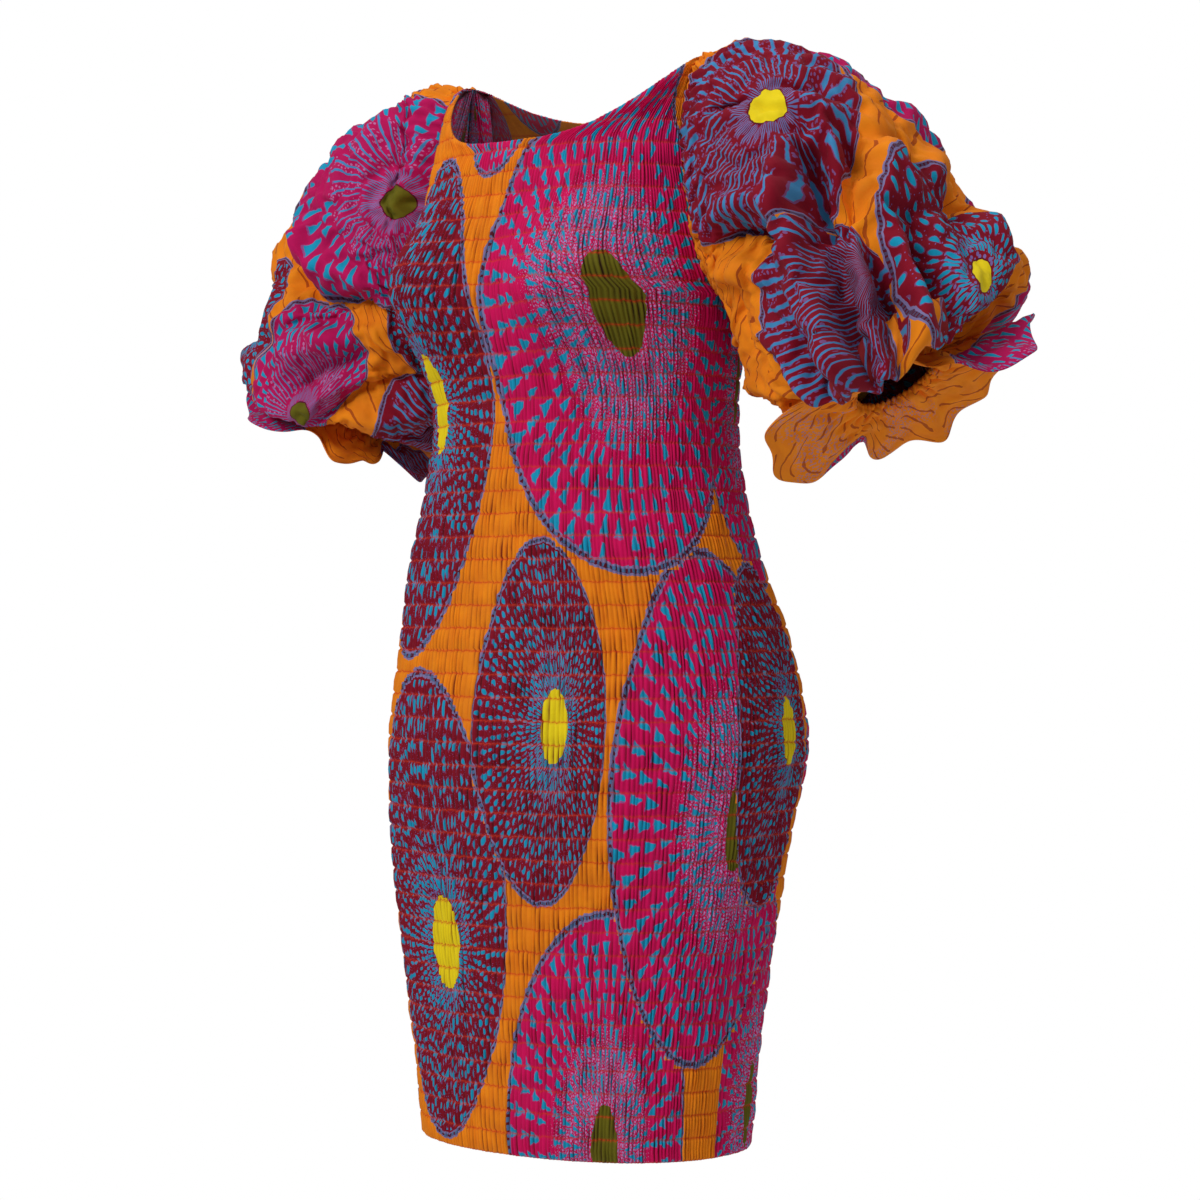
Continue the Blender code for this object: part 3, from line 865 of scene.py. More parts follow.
    def _rays(self, bench: Bench, reach: Value, angle: Value, specks: Value) -> bpy.types.NodeSocket:
        """The pink disc: rings of wedges that point to the eye, and a speckled middle."""
        dyes = self.dyes
        ray = angle * self.scale.rays
        number = ray.floor()
        shift, _ = self._cell(bench, number, 7.0)
        rung = reach / self.scale.ray_rung + shift * 0.9
        size, slip = self._cell(bench, number, rung.floor())
        side = abs(ray.part() - 0.5 + (slip - 0.5) * 0.14)
        far = rung.part()
        width = far * (0.20 + size * 0.17) + 0.05
        end = 0.64 + slip * 0.22
        kept = (reach > 0.22) * (size > 0.06) * (reach < 0.965)
        inside = (side < width) * (far < end) * kept
        edged = (side < width + 0.04) * (far < end + 0.05) * kept
        dense = 1 - reach.step(0.38, 0.64)
        ground = dyes.pink if self.shirred else dyes.rose
        colour = bench.mix(ground, dyes.pale, (specks < dense * 0.31) * (reach < 0.64))
        colour = bench.mix(colour, dyes.teal, (specks > 0.68) * (reach < 0.50) * dense)
        colour = bench.mix(colour, dyes.lilac, edged * 0.6)
        return bench.mix(colour, dyes.teal, inside)

    def _dots(self, bench: Bench, reach: Value, angle: Value, specks: Value) -> bpy.types.NodeSocket:
        """The maroon disc: rings of long dots that crowd together round the eye."""
        dyes = self.dyes
        ray = angle * self.scale.dots
        number = ray.floor()
        shift, _ = self._cell(bench, number, 3.0)
        rung = reach / self.scale.dot_rung + shift * 0.9
        size, slip = self._cell(bench, number, rung.floor())
        crowd = 1 - reach.step(0.22, 0.50)
        side = (ray.part() - 0.5 + (slip - 0.5) * 0.24) / (0.15 + size * 0.13 + crowd * 0.11)
        far = (rung.part() - 0.45) / (0.22 + size * 0.16 + crowd * 0.12)
        away = side * side + far * far
        kept = (reach > 0.2) * (reach < 0.955)
        colour = bench.mix(dyes.maroon, dyes.lilac, (specks < 0.08 + crowd * 0.20) * (reach < 0.9))
        colour = bench.mix(colour, dyes.lilac, (away < 1.5) * kept * 0.45)
        return bench.mix(colour, dyes.teal, (away < 1.0) * kept)

    def _strokes(
        self,
        bench: Bench,
        reach: Value,
        angle: Value,
        specks: Value,
        ground: Colour,
        speck: Colour,
        bare: Value | float = 0.0,
    ) -> bpy.types.NodeSocket:
        """A disc of three rings of wavering strokes, fine by the eye and broad by the rim."""
        dyes = self.dyes
        rings = (
            # count, from, to, half width, how far the strokes lean out of line
            (96.0, 0.155, 0.260, 0.22, 0.10),
            (56.0, 0.330, 0.580, 0.11, 0.30),
            (44.0, 0.640, 0.915, 0.15, 0.30),
        )
        speckled = (specks < 0.25) * (reach > 0.3) * (reach < 0.93)
        alternate = (angle * 21.0 + (reach * 9.0).sine() * 0.2).part() < 0.5
        colour = bench.mix(ground, speck, speckled * alternate * 0.62)
        for place, (count, start, end, width, lean) in enumerate(rings):
            ray = angle * count
            slip, size = self._cell(bench, ray.floor(), place + 11.0)
            wave = (reach * 38.0 + slip * 30.0).sine() * 0.06 + (reach - start) * (size - 0.5) * lean * 3.0
            side = abs(ray.part() - 0.5 + wave)
            first = (slip - 0.5) * 0.05 + start - (bare * 0.29 if place == 1 else 0.0)
            last = (size - 0.5) * 0.08 + end
            broad = (0.6 + size * 0.7) * width
            shown = 1 - bare if place == 0 else 1.0
            inside = (side < broad) * (reach > first) * (reach < last) * shown
            edge = (side < broad + 0.05) * (reach > first - 0.01) * (reach < last + 0.012) * shown
            colour = bench.mix(colour, dyes.lilac, edge * 0.55)
            colour = bench.mix(colour, bench.mix(dyes.lilac, dyes.sky, 0.45) if place == 0 else dyes.sky, inside)
        return colour

    def _rim(self, bench: Bench, disc, reach: Value, angle: Value) -> bpy.types.NodeSocket:
        """The two fine lines round a disc, with dashes between them."""
        dyes = self.dyes
        band = (reach > 0.965) * (reach < 1.0)
        disc = bench.mix(disc, dyes.shade, band)
        dash = ((angle * 190.0).part() < 0.6) * (reach > 0.974) * (reach < 0.988)
        disc = bench.mix(disc, dyes.sky, dash * self.scale.rim_dash)
        lines = (abs(reach - 0.969) < 0.0048).high(abs(reach - 0.995) < 0.0052)
        return bench.mix(disc, dyes.rim, lines * 0.9)

    def _ground(self, bench: Bench, cloth) -> bpy.types.NodeSocket:
        """The orange ground, with its fine brown stripes."""
        dyes, scale = self.dyes, self.scale
        across, along = bench.split(cloth)
        bend = self._noise(bench, cloth, 11.0, 1.0) * 0.05
        wobble = self._noise(bench, cloth, 120.0, 1.0) * 0.003
        run = (across * 0.55 + along * 0.83 + bend + wobble) / 0.0155
        slip, _ = self._cell(bench, run.floor(), 5.0)
        dashes = (across * 24.0 + slip * 7.0).part() < 0.74
        width = scale.wrong_stripe_width if self.wrong_side else scale.stripe_width
        tone = bench.mix(dyes.orange, dyes.burnt, self._noise(bench, cloth, 60.0, 2.0))
        if self.wrong_side:
            patch = self._noise(bench, cloth, 16.0, 1.0).step(0.50, 0.62)
            tone = bench.mix(tone, dyes.rim, (self._specks(bench, cloth) < 0.30) * patch * 0.55)
        return bench.mix(tone, dyes.brown, (run.part() < width) * dashes * scale.stripe_share)


# ---------------------------------------------------------------- pieces of cloth


def add_object(name: str, data: bpy.types.ID) -> bpy.types.Object:
    """A new object in the scene."""
    made = bpy.data.objects.new(name, data)
    bpy.context.scene.collection.objects.link(made)
    return made


def mesh_of(sheet: bmesh.types.BMesh, name: str) -> bpy.types.Mesh:
    """A mesh of a sheet that is being worked on, which ends there."""
    mesh = bpy.data.meshes.new(name)
    sheet.to_mesh(mesh)
    sheet.free()
    return mesh


def make_grid(name: str, columns: int, rows: int) -> bpy.types.Mesh:
    """A flat grid from 0 to 1 each way.

    Args:
        name: The mesh's name.
        columns: Faces across.
        rows: Faces along.

    Returns:
        The mesh, whose vertices are to be moved into place.
    """
    sheet = bmesh.new()
    bmesh.ops.create_grid(sheet, x_segments=columns, y_segments=rows, size=0.5)
    bmesh.ops.translate(sheet, verts=sheet.verts, vec=Vector((0.5, 0.5, 0.0)))
    return mesh_of(sheet, name)


def read_points(mesh: bpy.types.Mesh) -> np.ndarray:
    """A mesh's points, a row to each."""
    flat = np.empty(len(mesh.vertices) * 3)
    mesh.vertices.foreach_get("co", flat)
    return flat.reshape(-1, 3)


def write_points(mesh: bpy.types.Mesh, points: np.ndarray) -> None:
    """Moves a mesh's points."""
    mesh.vertices.foreach_set("co", np.ascontiguousarray(points, dtype=np.float64).ravel())
    mesh.update()


def read_loops(mesh: bpy.types.Mesh) -> np.ndarray:
    """The vertices of each four-cornered face, a row to a face."""
    flat = np.empty(len(mesh.loops), dtype=np.int32)
    mesh.loops.foreach_get("vertex_index", flat)
    return flat.reshape(-1, 4)


def write_map(mesh: bpy.types.Mesh, name: str, corners: np.ndarray) -> None:
    """Gives a mesh a UV map, a pair to each corner of each face."""
    layer = mesh.uv_layers.get(name) or mesh.uv_layers.new(name=name)
    layer.uv.foreach_set("vector", np.ascontiguousarray(corners, dtype=np.float32).ravel())


def write_values(mesh: bpy.types.Mesh, name: str, values: np.ndarray, domain: str) -> None:
    """Gives a mesh a named number on each vertex or face."""
    layer = mesh.attributes.new(name, "FLOAT", domain)
    layer.data.foreach_set("value", np.ascontiguousarray(values, dtype=np.float32))


def make_piece(mesh: bpy.types.Mesh, finishes: list[bpy.types.Material]) -> bpy.types.Object:
    """An object of cloth, smooth shaded, with its finishes, which goes by its mesh's name."""
    piece = add_object(mesh.name, mesh)
    for finish in finishes:
        mesh.materials.append(finish)
    mesh.shade_smooth()
    return piece


def lay_print(
    mesh: bpy.types.Mesh,
    layout: PrintLayout,
    across: np.ndarray,
    along: np.ndarray,
    cloth: np.ndarray,
    valley: np.ndarray,
) -> None:
    """Gives a mesh all that its print needs, and the valley depth that sets its painted shade.

    Args:
        mesh: The mesh.
        layout: Where the discs lie.
        across: Each point's place across the piece.
        along: Each point's place along the piece.
        cloth: Each point's place in the flat cloth's own measure.
        valley: How deep each point lies between two gathers, which sets the painted shade there.
    """
    loops = read_loops(mesh)
    place, kind = layout.lay(across, along, loops)
    write_map(mesh, "cloth", cloth[loops])
    write_map(mesh, "motif", place)
    write_values(mesh, "face", kind, "FACE")
    write_values(mesh, "valley", valley, "POINT")


@dataclass(frozen=True)
class ShirredPanel:
    """A front or back panel, gathered all over by level rows of elastic thread.

    Attributes:
        node: The solid that the panel stands for.
        front: Whether it is the front panel.
        layout: Where the print's discs lie.
        seed: Picks the panel's noise.
        form: The form of the body.
        pleats: How many gathers lie side by side across it.
        samples: How many columns of faces each gather has.
        crest: How far the crest of a gather stands out from the plain form.
        pinch: How far a row of elastic draws the cloth in, and elastic_width how near to it.
        flat_width: The width of the cloth before it was gathered.
        wall: The distance between the two sides.
        inner_columns, inner_rows: The faces of the inner side.
        ripple, drift: How far the inner and the outer side wander from the plain form.
        crowding: How far the cloth of each gather is drawn towards its valley.
        stagger: How far the print slips up or down from one gather to the next.
        fine_rows: Where the fine rows between two rows of elastic lie.
        edge_width, top_rows: Over what width the gathers fade out at a side seam, and over how many rows at
            the top.
        edge_lift: How much of a gather is left at a seam.
    """

    node: str
    front: bool
    layout: PrintLayout
    seed: int
    form: BodyForm = BodyForm()
    pleats: int = 120
    samples: int = 4
    crest: float = 0.0026
    pinch: float = 0.0010
    flat_width: float = 0.62
    wall: float = 0.0012
    inner_columns: int = 60
    inner_rows: int = 60
    crowding: float = 0.62
    elastic_width: float = 0.0017
    stagger: float = 0.0018
    fine_rows: tuple[float, ...] = (0.0, 0.11, 0.5, 0.89)
    edge_width: float = 0.012
    top_rows: float = 0.6
    edge_lift: float = 0.35
    ripple: float = 0.0003
    drift: float = 0.0005

    def build(self, right_side: bpy.types.Material, wrong_side: bpy.types.Material) -> bpy.types.Object:
        """Makes the panel as one closed shell: a gathered outer side and a plainer inner one.

        Args:
            right_side: The finish of the outer side.
            wrong_side: The finish of the inner side.

        Returns:
            The panel.
        """
        outer = self._outer()
        inner = self._inner()
        shell = bmesh.new()
        shell.from_mesh(outer)
        first = len(shell.faces)
        shell.from_mesh(inner)
        shell.faces.ensure_lookup_table()
        for face in shell.faces[first:]:
            face.material_index = 1
        rims = [edge for edge in shell.edges if edge.is_boundary]
        bmesh.ops.bridge_loops(shell, edges=rims)
        bpy.data.meshes.remove(outer)
        bpy.data.meshes.remove(inner)
        return make_piece(mesh_of(shell, self.node + "_cloth"), [right_side, wrong_side])

    def _bands(self) -> np.ndarray:
        """The places of the fine rows: a few to each row of shirring, closer together by the elastic."""
        rows = [row + step for row in range(SHIRRING_ROWS) for step in self.fine_rows]
        return np.array([*rows, float(SHIRRING_ROWS)])

    def _outer(self) -> bpy.types.Mesh:
        """The gathered right side."""
        columns = self.pleats * self.samples
        bands = self._bands()
        mesh = make_grid("outer", columns, len(bands) - 1)
        flat = read_points(mesh)
        index = np.rint(flat[:, 0] * columns).astype(int)
        row = bands[np.rint(flat[:, 1] * (len(bands) - 1)).astype(int)]
        phase = index / self.samples
        drift = Noise(self.seed)
        fine = Noise(self.seed + 1)
        height = self.form.panel_point(self.front, flat[:, 0], row)[:, 2]
        band = np.floor(-height / ROW_PITCH)
        sway = drift.at(phase * 0.21, height / 0.11) * 0.5 + fine.at(phase * 0.6 + band * 3.7, band * 0.37) * 0.34
        side = np.minimum(phase, self.pleats - phase)
        column = np.clip((phase + sway * smooth(side / 2.5)) / self.pleats, 0.0, 1.0)
        form = self.form.panel_point(self.front, column, row)
        normal = self.form.panel_normal(self.front, column, row)
        height = form[:, 2]
        off = np.abs((height / ROW_PITCH + 0.5) % 1.0 - 0.5) * ROW_PITCH
        puff = 1 - bell(off / self.elastic_width)
        valley = 0.5 - 0.5 * np.cos(FULL_TURN * phase)
        size = np.clip(0.78 + 0.55 * drift.at(phase * 0.5 + 40, height / 0.028), 0.25, 1.25)
        lift = (1 - valley**1.25) * self.crest * size * (0.62 + 0.38 * puff)
        lift += (puff - 1) * self.pinch + fine.at(phase * 0.13 + 9, height / 0.045) * self.drift
        at_side = smooth(np.minimum(column, 1 - column) / self.edge_width)
        at_top = between(self.edge_lift, 1, smooth((SHIRRING_ROWS - row) / self.top_rows))
        by_armhole = height > -self.form.armhole_depth - ROW_PITCH
        quiet = np.where(by_armhole, at_side, between(self.edge_lift, 1, at_side))
        write_points(mesh, form + normal * (lift * quiet * at_top)[:, None])
        stagger = fine.at(np.round(phase) * 0.77 + 5, 0.5) * self.stagger * (1 - valley)
        spread = phase - self.crowding * np.sin(FULL_TURN * phase) / FULL_TURN
        # valley times size sets how dark the painted shade is in each gather's valley
        self._print(mesh, spread / self.pleats, height + stagger, sway / self.pleats, valley * size)
        return mesh

    def _inner(self) -> bpy.types.Mesh:
        """The plainer wrong side."""
        mesh = make_grid("inner", self.inner_columns, self.inner_rows)
        flat = read_points(mesh)
        row = flat[:, 1] * SHIRRING_ROWS
        form = self.form.panel_point(self.front, flat[:, 0], row)
        normal = self.form.panel_normal(self.front, flat[:, 0], row)
        ripple = Noise(self.seed + 2).at(flat[:, 0] * 70, row * 0.6) * self.ripple
        write_points(mesh, form - normal * (self.wall + ripple)[:, None])
        still = np.zeros(len(flat))
        self._print(mesh, flat[:, 0], form[:, 2], still, still)
        mesh.flip_normals()
        return mesh

    def _print(
        self, mesh: bpy.types.Mesh, column: np.ndarray, height: np.ndarray, sway: np.ndarray, valley: np.ndarray
    ) -> None:
        """Lays the print, the flat cloth's measure and the valley depth for the painted shade on a mesh."""
        cloth = np.stack([column * self.flat_width, height], axis=-1)
        lay_print(mesh, self.layout, column + sway, height, cloth, valley)


class Crease(NamedTuple):
    """A soft trough in a sleeve, or a ridge where its depth is below nought, from one place to another.

    Places are in degrees round from the top over the back, and in rings from the armhole.
    """

    from_deg: float
    from_ring: float
    to_deg: float
    to_ring: float
    width: float
    depth: float


class Lobe(NamedTuple):
    """A place on a ruffle's edge: its angle from the top over the back, its reach, and how far it hangs."""

    turn_deg: float
    reach: float
    droop: float


class Sag(NamedTuple):
    """Where a balloon hangs over its elastic: its middle, its spread to each side, and its drop."""

    turn_deg: float
    spread_deg: float
    drop: float


LEFT_FOLDS = rows_of(
    Crease,
    (309, 3.9, 296, 5.1, 0.015, 0.046),
    (240, 3.0, 262, 4.3, 0.014, 0.034),
    (262, 4.3, 272, 4.8, 0.012, 0.028),
    (333, 4.2, 304, 5.3, 0.014, 0.028),
    (350, 4.9, 330, 4.9, 0.017, -0.016),
    (286, 4.2, 277, 5.3, 0.016, -0.024),
    (277, 5.3, 288, 7.2, 0.015, -0.022),
    (296, 5.3, 298, 7.5, 0.012, 0.032),
    (264, 5.9, 284, 7.4, 0.012, 0.026),
    (318, 5.2, 308, 7.3, 0.012, 0.032),
    (304, 6.0, 303, 7.3, 0.009, -0.012),
    (337, 5.4, 334, 7.0, 0.014, 0.026),
    (326, 5.8, 322, 7.2, 0.010, -0.012),
    (243, 6.2, 262, 7.4, 0.013, 0.024),
    (322, 2.9, 340, 3.9, 0.010, 0.014),
    (296, 1.6, 306, 2.4, 0.010, 0.012),
    (6, 5.7, 30, 5.3, 0.015, 0.030),
    (18, 3.2, 66, 3.8, 0.015, 0.036),
    (60, 5.2, 112, 4.8, 0.015, 0.036),
    (50, 6.4, 84, 6.9, 0.014, 0.028),
    (96, 2.8, 140, 3.3, 0.015, 0.030),
    (128, 5.9, 150, 6.9, 0.014, 0.028),
    (160, 4.3, 206, 4.9, 0.015, 0.028),
    (188, 6.0, 212, 6.8, 0.014, 0.024),
)

RIGHT_FOLDS = rows_of(
    Crease,
    (296, 4.9, 266, 5.1, 0.016, 0.031),
    (266, 5.1, 226, 3.7, 0.016, 0.031),
    (286, 5.9, 238, 4.6, 0.013, 0.017),
    (262, 6.5, 228, 5.1, 0.016, 0.022),
    (240, 6.9, 208, 5.3, 0.016, 0.022),
    (288, 4.3, 276, 4.6, 0.016, -0.012),
    (274, 5.5, 252, 5.1, 0.014, -0.012),
    (318, 1.0, 268, 1.3, 0.014, 0.017),
    (334, 4.6, 340, 6.0, 0.034, -0.017),
    (350, 1.4, 345, 3.3, 0.045, 0.014),
    (330, 3.6, 20, 4.2, 0.018, 0.029),
    (318, 5.9, 350, 6.8, 0.017, 0.024),
    (12, 5.4, 60, 5.9, 0.018, 0.026),
    (40, 2.6, 88, 3.1, 0.018, 0.026),
    (76, 4.4, 126, 4.9, 0.018, 0.029),
    (96, 6.2, 122, 7.0, 0.017, 0.022),
    (140, 3.4, 186, 4.0, 0.017, 0.022),
    (160, 5.8, 190, 6.6, 0.017, 0.022),
)

LEFT_RUFFLE = rows_of(
    Lobe,
    (10, 0.110, 0.046),
    (30, 0.122, 0.000),
    (48, 0.118, -0.004),
    (70, 0.104, 0.000),
    (85, 0.106, 0.006),
    (97, 0.100, 0.002),
    (110, 0.104, 0.015),
    (123, 0.094, -0.002),
    (143, 0.090, 0.007),
    (168, 0.062, 0.000),
    (192, 0.106, 0.014),
    (212, 0.116, 0.004),
    (232, 0.114, -0.012),
    (248, 0.098, -0.014),
    (270, 0.072, 0.008),
    (304, 0.072, 0.002),
    (330, 0.079, 0.032),
    (357, 0.092, 0.050),
)

RIGHT_RUFFLE = rows_of(
    Lobe,
    (14, 0.112, 0.020),
    (40, 0.094, -0.004),
    (66, 0.112, 0.018),
    (92, 0.096, -0.002),
    (118, 0.110, 0.020),
    (146, 0.090, 0.000),
    (171, 0.090, 0.006),
    (188, 0.054, -0.002),
    (206, 0.074, 0.004),
    (233, 0.094, 0.006),
    (253, 0.078, -0.002),
    (275, 0.104, 0.020),
    (297, 0.098, 0.028),
    (322, 0.096, 0.000),
    (346, 0.104, 0.010),
)


@dataclass(frozen=True)
class BalloonSleeve:
    """A balloon sleeve: gathered cap, crumpled balloon, cuff drawn in by elastic, and ruffle.

    Attributes:
        node: The solid that the sleeve stands for.
        side: 1 for the wearer's left and -1 for the right.
        layout: Where the print's discs lie.
        folds: The main folds.
        ruffle: The ruffle's edge, lobe by lobe.
        sag: How the balloon hangs over its elastic.
        seed: Picks the sleeve's noise.
        form: The form of the body, for the armhole.
        columns, rows: The faces of its sheet, round it and down it.
        wall: The thickness of the cloth.
        elastic_ring, edge_ring: The rings of the elastic and of the ruffle's edge.
        elastic_reach, ruffle_reach: How far those rings reach in the table of rings.
        cap_gathers, cuff_gathers, ruffle_flutes: How many there are of each, all round.
        balloon_reach, ring_spacing: A fold's measures: metres round to a radian, and metres to a ring.
        flat_round, flat_long: The flat cloth's size.
        spare_cloth, gathered_cloth: By how much the cloth grows as it settles, in the open and at the gathers.
        form_kept, ruffle_kept: How firmly the balloon and the ruffle keep their form as they settle.
        air, weight, stiffness: The air inside, the share of gravity and the cloth's stiffness as it settles.
        steps: For how many steps it settles.
        most_moved: The farthest that any point may go.
        fold_pull: How strongly a trough draws in the cloth beside it.
        tube_share: How high the cloth stands in a tube at each side of a trough.
        cap_lift, cuff_lift: The height of the gathers by the armhole and by the elastic.
        coarse_crumple, fine_crumple, small_crumple: The height of the crumples, from large to small.
        flute_lift, flute_change: The height of the ruffle's flutes, and how much it varies.
    """

    node: str
    side: int
    layout: PrintLayout
    folds: tuple[Crease, ...]
    ruffle: tuple[Lobe, ...]
    sag: Sag
    seed: int
    form: BodyForm = BodyForm()
    columns: int = 288
    rows: int = 166
    wall: float = 0.0010
    elastic_ring: int = 8
    edge_ring: int = len(SLEEVE_RINGS) - 1
    elastic_reach: float = 0.038
    ruffle_reach: float = 0.118
    cap_gathers: int = 54
    cuff_gathers: int = 48
    ruffle_flutes: int = 13
    balloon_reach: float = 0.105
    ring_spacing: float = 0.040
    flat_round: float = 0.74
    flat_long: float = 0.46
    spare_cloth: float = 0.10
    gathered_cloth: float = 0.35
    form_kept: float = 0.45
    ruffle_kept: float = 0.62
    air: float = 0.1
    weight: float = 0.3
    stiffness: float = 0.06
    steps: int = 12
    most_moved: float = 0.018
    fold_pull: float = 0.62
    tube_share: float = 0.30
    cap_lift: float = 0.0042
    cuff_lift: float = 0.0030
    coarse_crumple: float = 0.008
    fine_crumple: float = 0.002
    small_crumple: float = 0.0012
    flute_lift: float = 0.0052
    flute_change: float = 0.0024

    def build(self, right_side: bpy.types.Material, wrong_side: bpy.types.Material) -> bpy.types.Object:
        """Makes the sleeve as one sheet, and gives it its thickness.

        Args:
            right_side: The finish of the outer side.
            wrong_side: The finish of the inner side.

        Returns:
            The sleeve.
        """
        mesh = make_grid(self.node + "_cloth", self.columns, self.rows)
        flat = read_points(mesh)
        column = np.rint(flat[:, 0] * self.columns).astype(int)
        row = np.rint(flat[:, 1] * self.rows).astype(int)
        along = self._ring_of(flat[:, 1])
        turn = flat[:, 0] * FULL_TURN
        net = self._detailed(self._finer(self._settled()))
        points = net[row, column % self.columns]
        points[:, 0] *= self.side
        write_points(mesh, points)
        if self.side > 0:
            mesh.flip_normals()
        cloth = np.stack([flat[:, 0] * self.flat_round, along / self.edge_ring * self.flat_long], axis=-1)
        lay_print(mesh, self.layout, np.degrees(turn), along, cloth, np.zeros(len(along)))
        self._close(mesh)
        piece = make_piece(mesh, [right_side, wrong_side])
        wall = piece.modifiers.new("Cloth", "SOLIDIFY")
        wall.thickness = self.wall
        wall.offset = -1
        wall.material_offset = 1
        wall.material_offset_rim = 0
        return piece

    def _settled(self) -> np.ndarray:
        """The sleeve at half its fineness, after its spare cloth has buckled into folds of its own.

        Returns:
            The points on the left-hand side, by row and then by column.
        """
        columns, rows = self.columns // 2, self.rows // 2
        mesh = make_grid("settling", columns, rows)
        flat = read_points(mesh)
        along = self._ring_of(flat[:, 1])
        start = self._surface(flat[:, 0] * FULL_TURN, along)
        column = np.rint(flat[:, 0] * columns).astype(int) % columns
        row = np.rint(flat[:, 1] * rows).astype(int)
        net = np.empty((rows + 1, columns, 3))
        net[row, column] = start
        write_points(mesh, start)
        write_values(mesh, "row", row, "POINT")
        write_values(mesh, "column", column, "POINT")
        elastic = np.abs(along - self.elastic_ring)
        # the armhole and the elastic are held fast, and the cloth is fullest beside them
        held = np.maximum(smooth((0.45 - along) / 0.3), smooth((0.42 - elastic) / 0.3))
        form_kept = between(self.form_kept, self.ruffle_kept, smooth((along - 7.8) / 0.6))
        write_values(mesh, "held", np.maximum(held, form_kept), "POINT")
        full = bell(elastic / 1.1) * (along < self.elastic_ring) + bell(along / 1.3)
        write_values(mesh, "fullness", np.minimum(1.0, full), "POINT")
        self._close(mesh)
        moved = self._simulate(mesh)
        far = moved - net
        length = np.linalg.norm(far, axis=-1, keepdims=True)
        net = net + far * np.minimum(1.0, self.most_moved / np.maximum(length, 1e-9))
        return self._evened(net)

    def _evened(self, net: np.ndarray) -> np.ndarray:
        """Rounds the ruffle's flutes off, the more so towards its free edge."""
        rows = len(net)
        along = self._ring_of(np.arange(rows) / (rows - 1))
        share = smooth((along - 8.3) / 1.0)[:, None, None] * 0.9
        for _ in range(5):
            soft = (np.roll(net, 1, axis=1) + np.roll(net, -1, axis=1) + net * 2) / 4
            net = net + (soft - net) * share
        return net

    def _simulate(self, mesh: bpy.types.Mesh) -> np.ndarray:
        """Lets the cloth buckle, held at its armhole, its elastic and its ruffle, and removes the mesh.

        Args:
            mesh: The sleeve's mesh, with its rows, columns and how firmly each point is held.

        Returns:
            The points by row and then by column.
        """
        scene = bpy.context.scene
        cloth = add_object("settling", mesh)
        count = len(mesh.vertices)
        facts = {name: np.empty(count, dtype=np.float32) for name in ("row", "column", "held", "fullness")}
        for name, values in facts.items():
            mesh.attributes[name].data.foreach_get("value", values)
        for name in ("held", "fullness"):
            group = cloth.vertex_groups.new(name=name)
            for index, weight in enumerate(facts[name]):
                group.add([index], float(weight), "REPLACE")
        cotton = cloth.modifiers.new("Settling", "CLOTH")
        settings = cotton.settings
        settings.effector_weights.gravity = self.weight
        given = {
            "quality": 4,
            "mass": 0.15,
            "tension_stiffness": 20,
            "compression_stiffness": 20,
            "shear_stiffness": 8,
            "bending_stiffness": self.stiffness,
            "air_damping": 3,
            "vertex_group_mass": "held",
            "pin_stiffness": 1,
            "vertex_group_shrink": "fullness",
            "shrink_min": -self.spare_cloth,
            "shrink_max": -self.gathered_cloth,
            "use_pressure": True,
            "uniform_pressure_force": self.air,
        }
        touching = {"use_self_collision": True, "self_distance_min": 0.0025, "collision_quality": 2}
        for target, values in ((settings, given), (cotton.collision_settings, touching)):
            for name, value in values.items():
                setattr(target, name, value)
        for frame in range(1, self.steps + 1):
            scene.frame_set(frame)
        settled = cloth.evaluated_get(bpy.context.evaluated_depsgraph_get()).to_mesh()
        points = read_points(settled)
        net = np.empty((int(facts["row"].max()) + 1, int(facts["column"].max()) + 1, 3))
        net[facts["row"].astype(int), facts["column"].astype(int)] = points
        scene.frame_set(1)
        bpy.data.objects.remove(cloth)
        bpy.data.meshes.remove(mesh)
        return net

    @staticmethod
    def _finer(net: np.ndarray) -> np.ndarray:
        """Doubles a net's fineness each way, on smooth curves through its points."""
        for axis, closed in ((1, True), (0, False)):
            lines = np.moveaxis(net, axis, 0)
            if closed:
                before, after, last = np.roll(lines, 1, 0), np.roll(lines, -1, 0), np.roll(lines, -2, 0)
            else:
                padded = np.concatenate([lines[:1], lines, lines[-1:], lines[-1:]])
                before, after, last = padded[:-3], padded[2:-1], padded[3:]
            middle = (9 * (lines + after) - before - last) / 16
            finer = np.empty((2 * len(lines), *lines.shape[1:]))
            finer[0::2], finer[1::2] = lines, middle
            net = np.moveaxis(finer if closed else finer[:-1], 0, axis)
        return net

    def _detailed(self, net: np.ndarray) -> np.ndarray:
        """Adds the fine gathers by the armhole and the elastic, and small crumples, along the cloth's slope."""
        rows, columns = net.shape[:2]
        turn = np.arange(columns)[None, :] / columns * FULL_TURN
        along = self._ring_of(np.arange(rows) / (rows - 1))[:, None]
        turn, along = np.broadcast_arrays(turn, along)
        soft = net
        for _ in range(6):
            soft = (soft + np.roll(soft, 1, axis=1) + np.roll(soft, -1, axis=1)) / 3
            soft[1:-1] = (soft[:-2] + soft[1:-1] + soft[2:]) / 3
        round_it = np.roll(soft, -1, axis=1) - np.roll(soft, 1, axis=1)
        normal = np.cross(round_it, np.gradient(soft, axis=0))
        normal /= np.maximum(np.linalg.norm(normal, axis=-1, keepdims=True), 1e-9)
        upright = (1 + np.cos(turn)) / 2
        small = Noise(self.seed + 5, 72).puffs(turn / FULL_TURN * 72, along * 2.6)
        held = smooth((along - 0.2) / 0.8) * smooth((8 - along) / 0.6)
        lift = self._gathers(turn, along, upright) + (small - 0.5) * self.small_crumple * held
        return net + normal * lift[..., None]

    def _ring_of(self, share: np.ndarray) -> np.ndarray:
        """The ring at a share of the sleeve's length, with closer rows by the elastic and in the ruffle."""
        shares = (0.0, 0.10, 0.70, 0.80, 0.86, 1.0)
        rings = (0.0, 1.0, 7.0, 7.75, 8.15, 10.0)
        return np.interp(share, shares, rings)

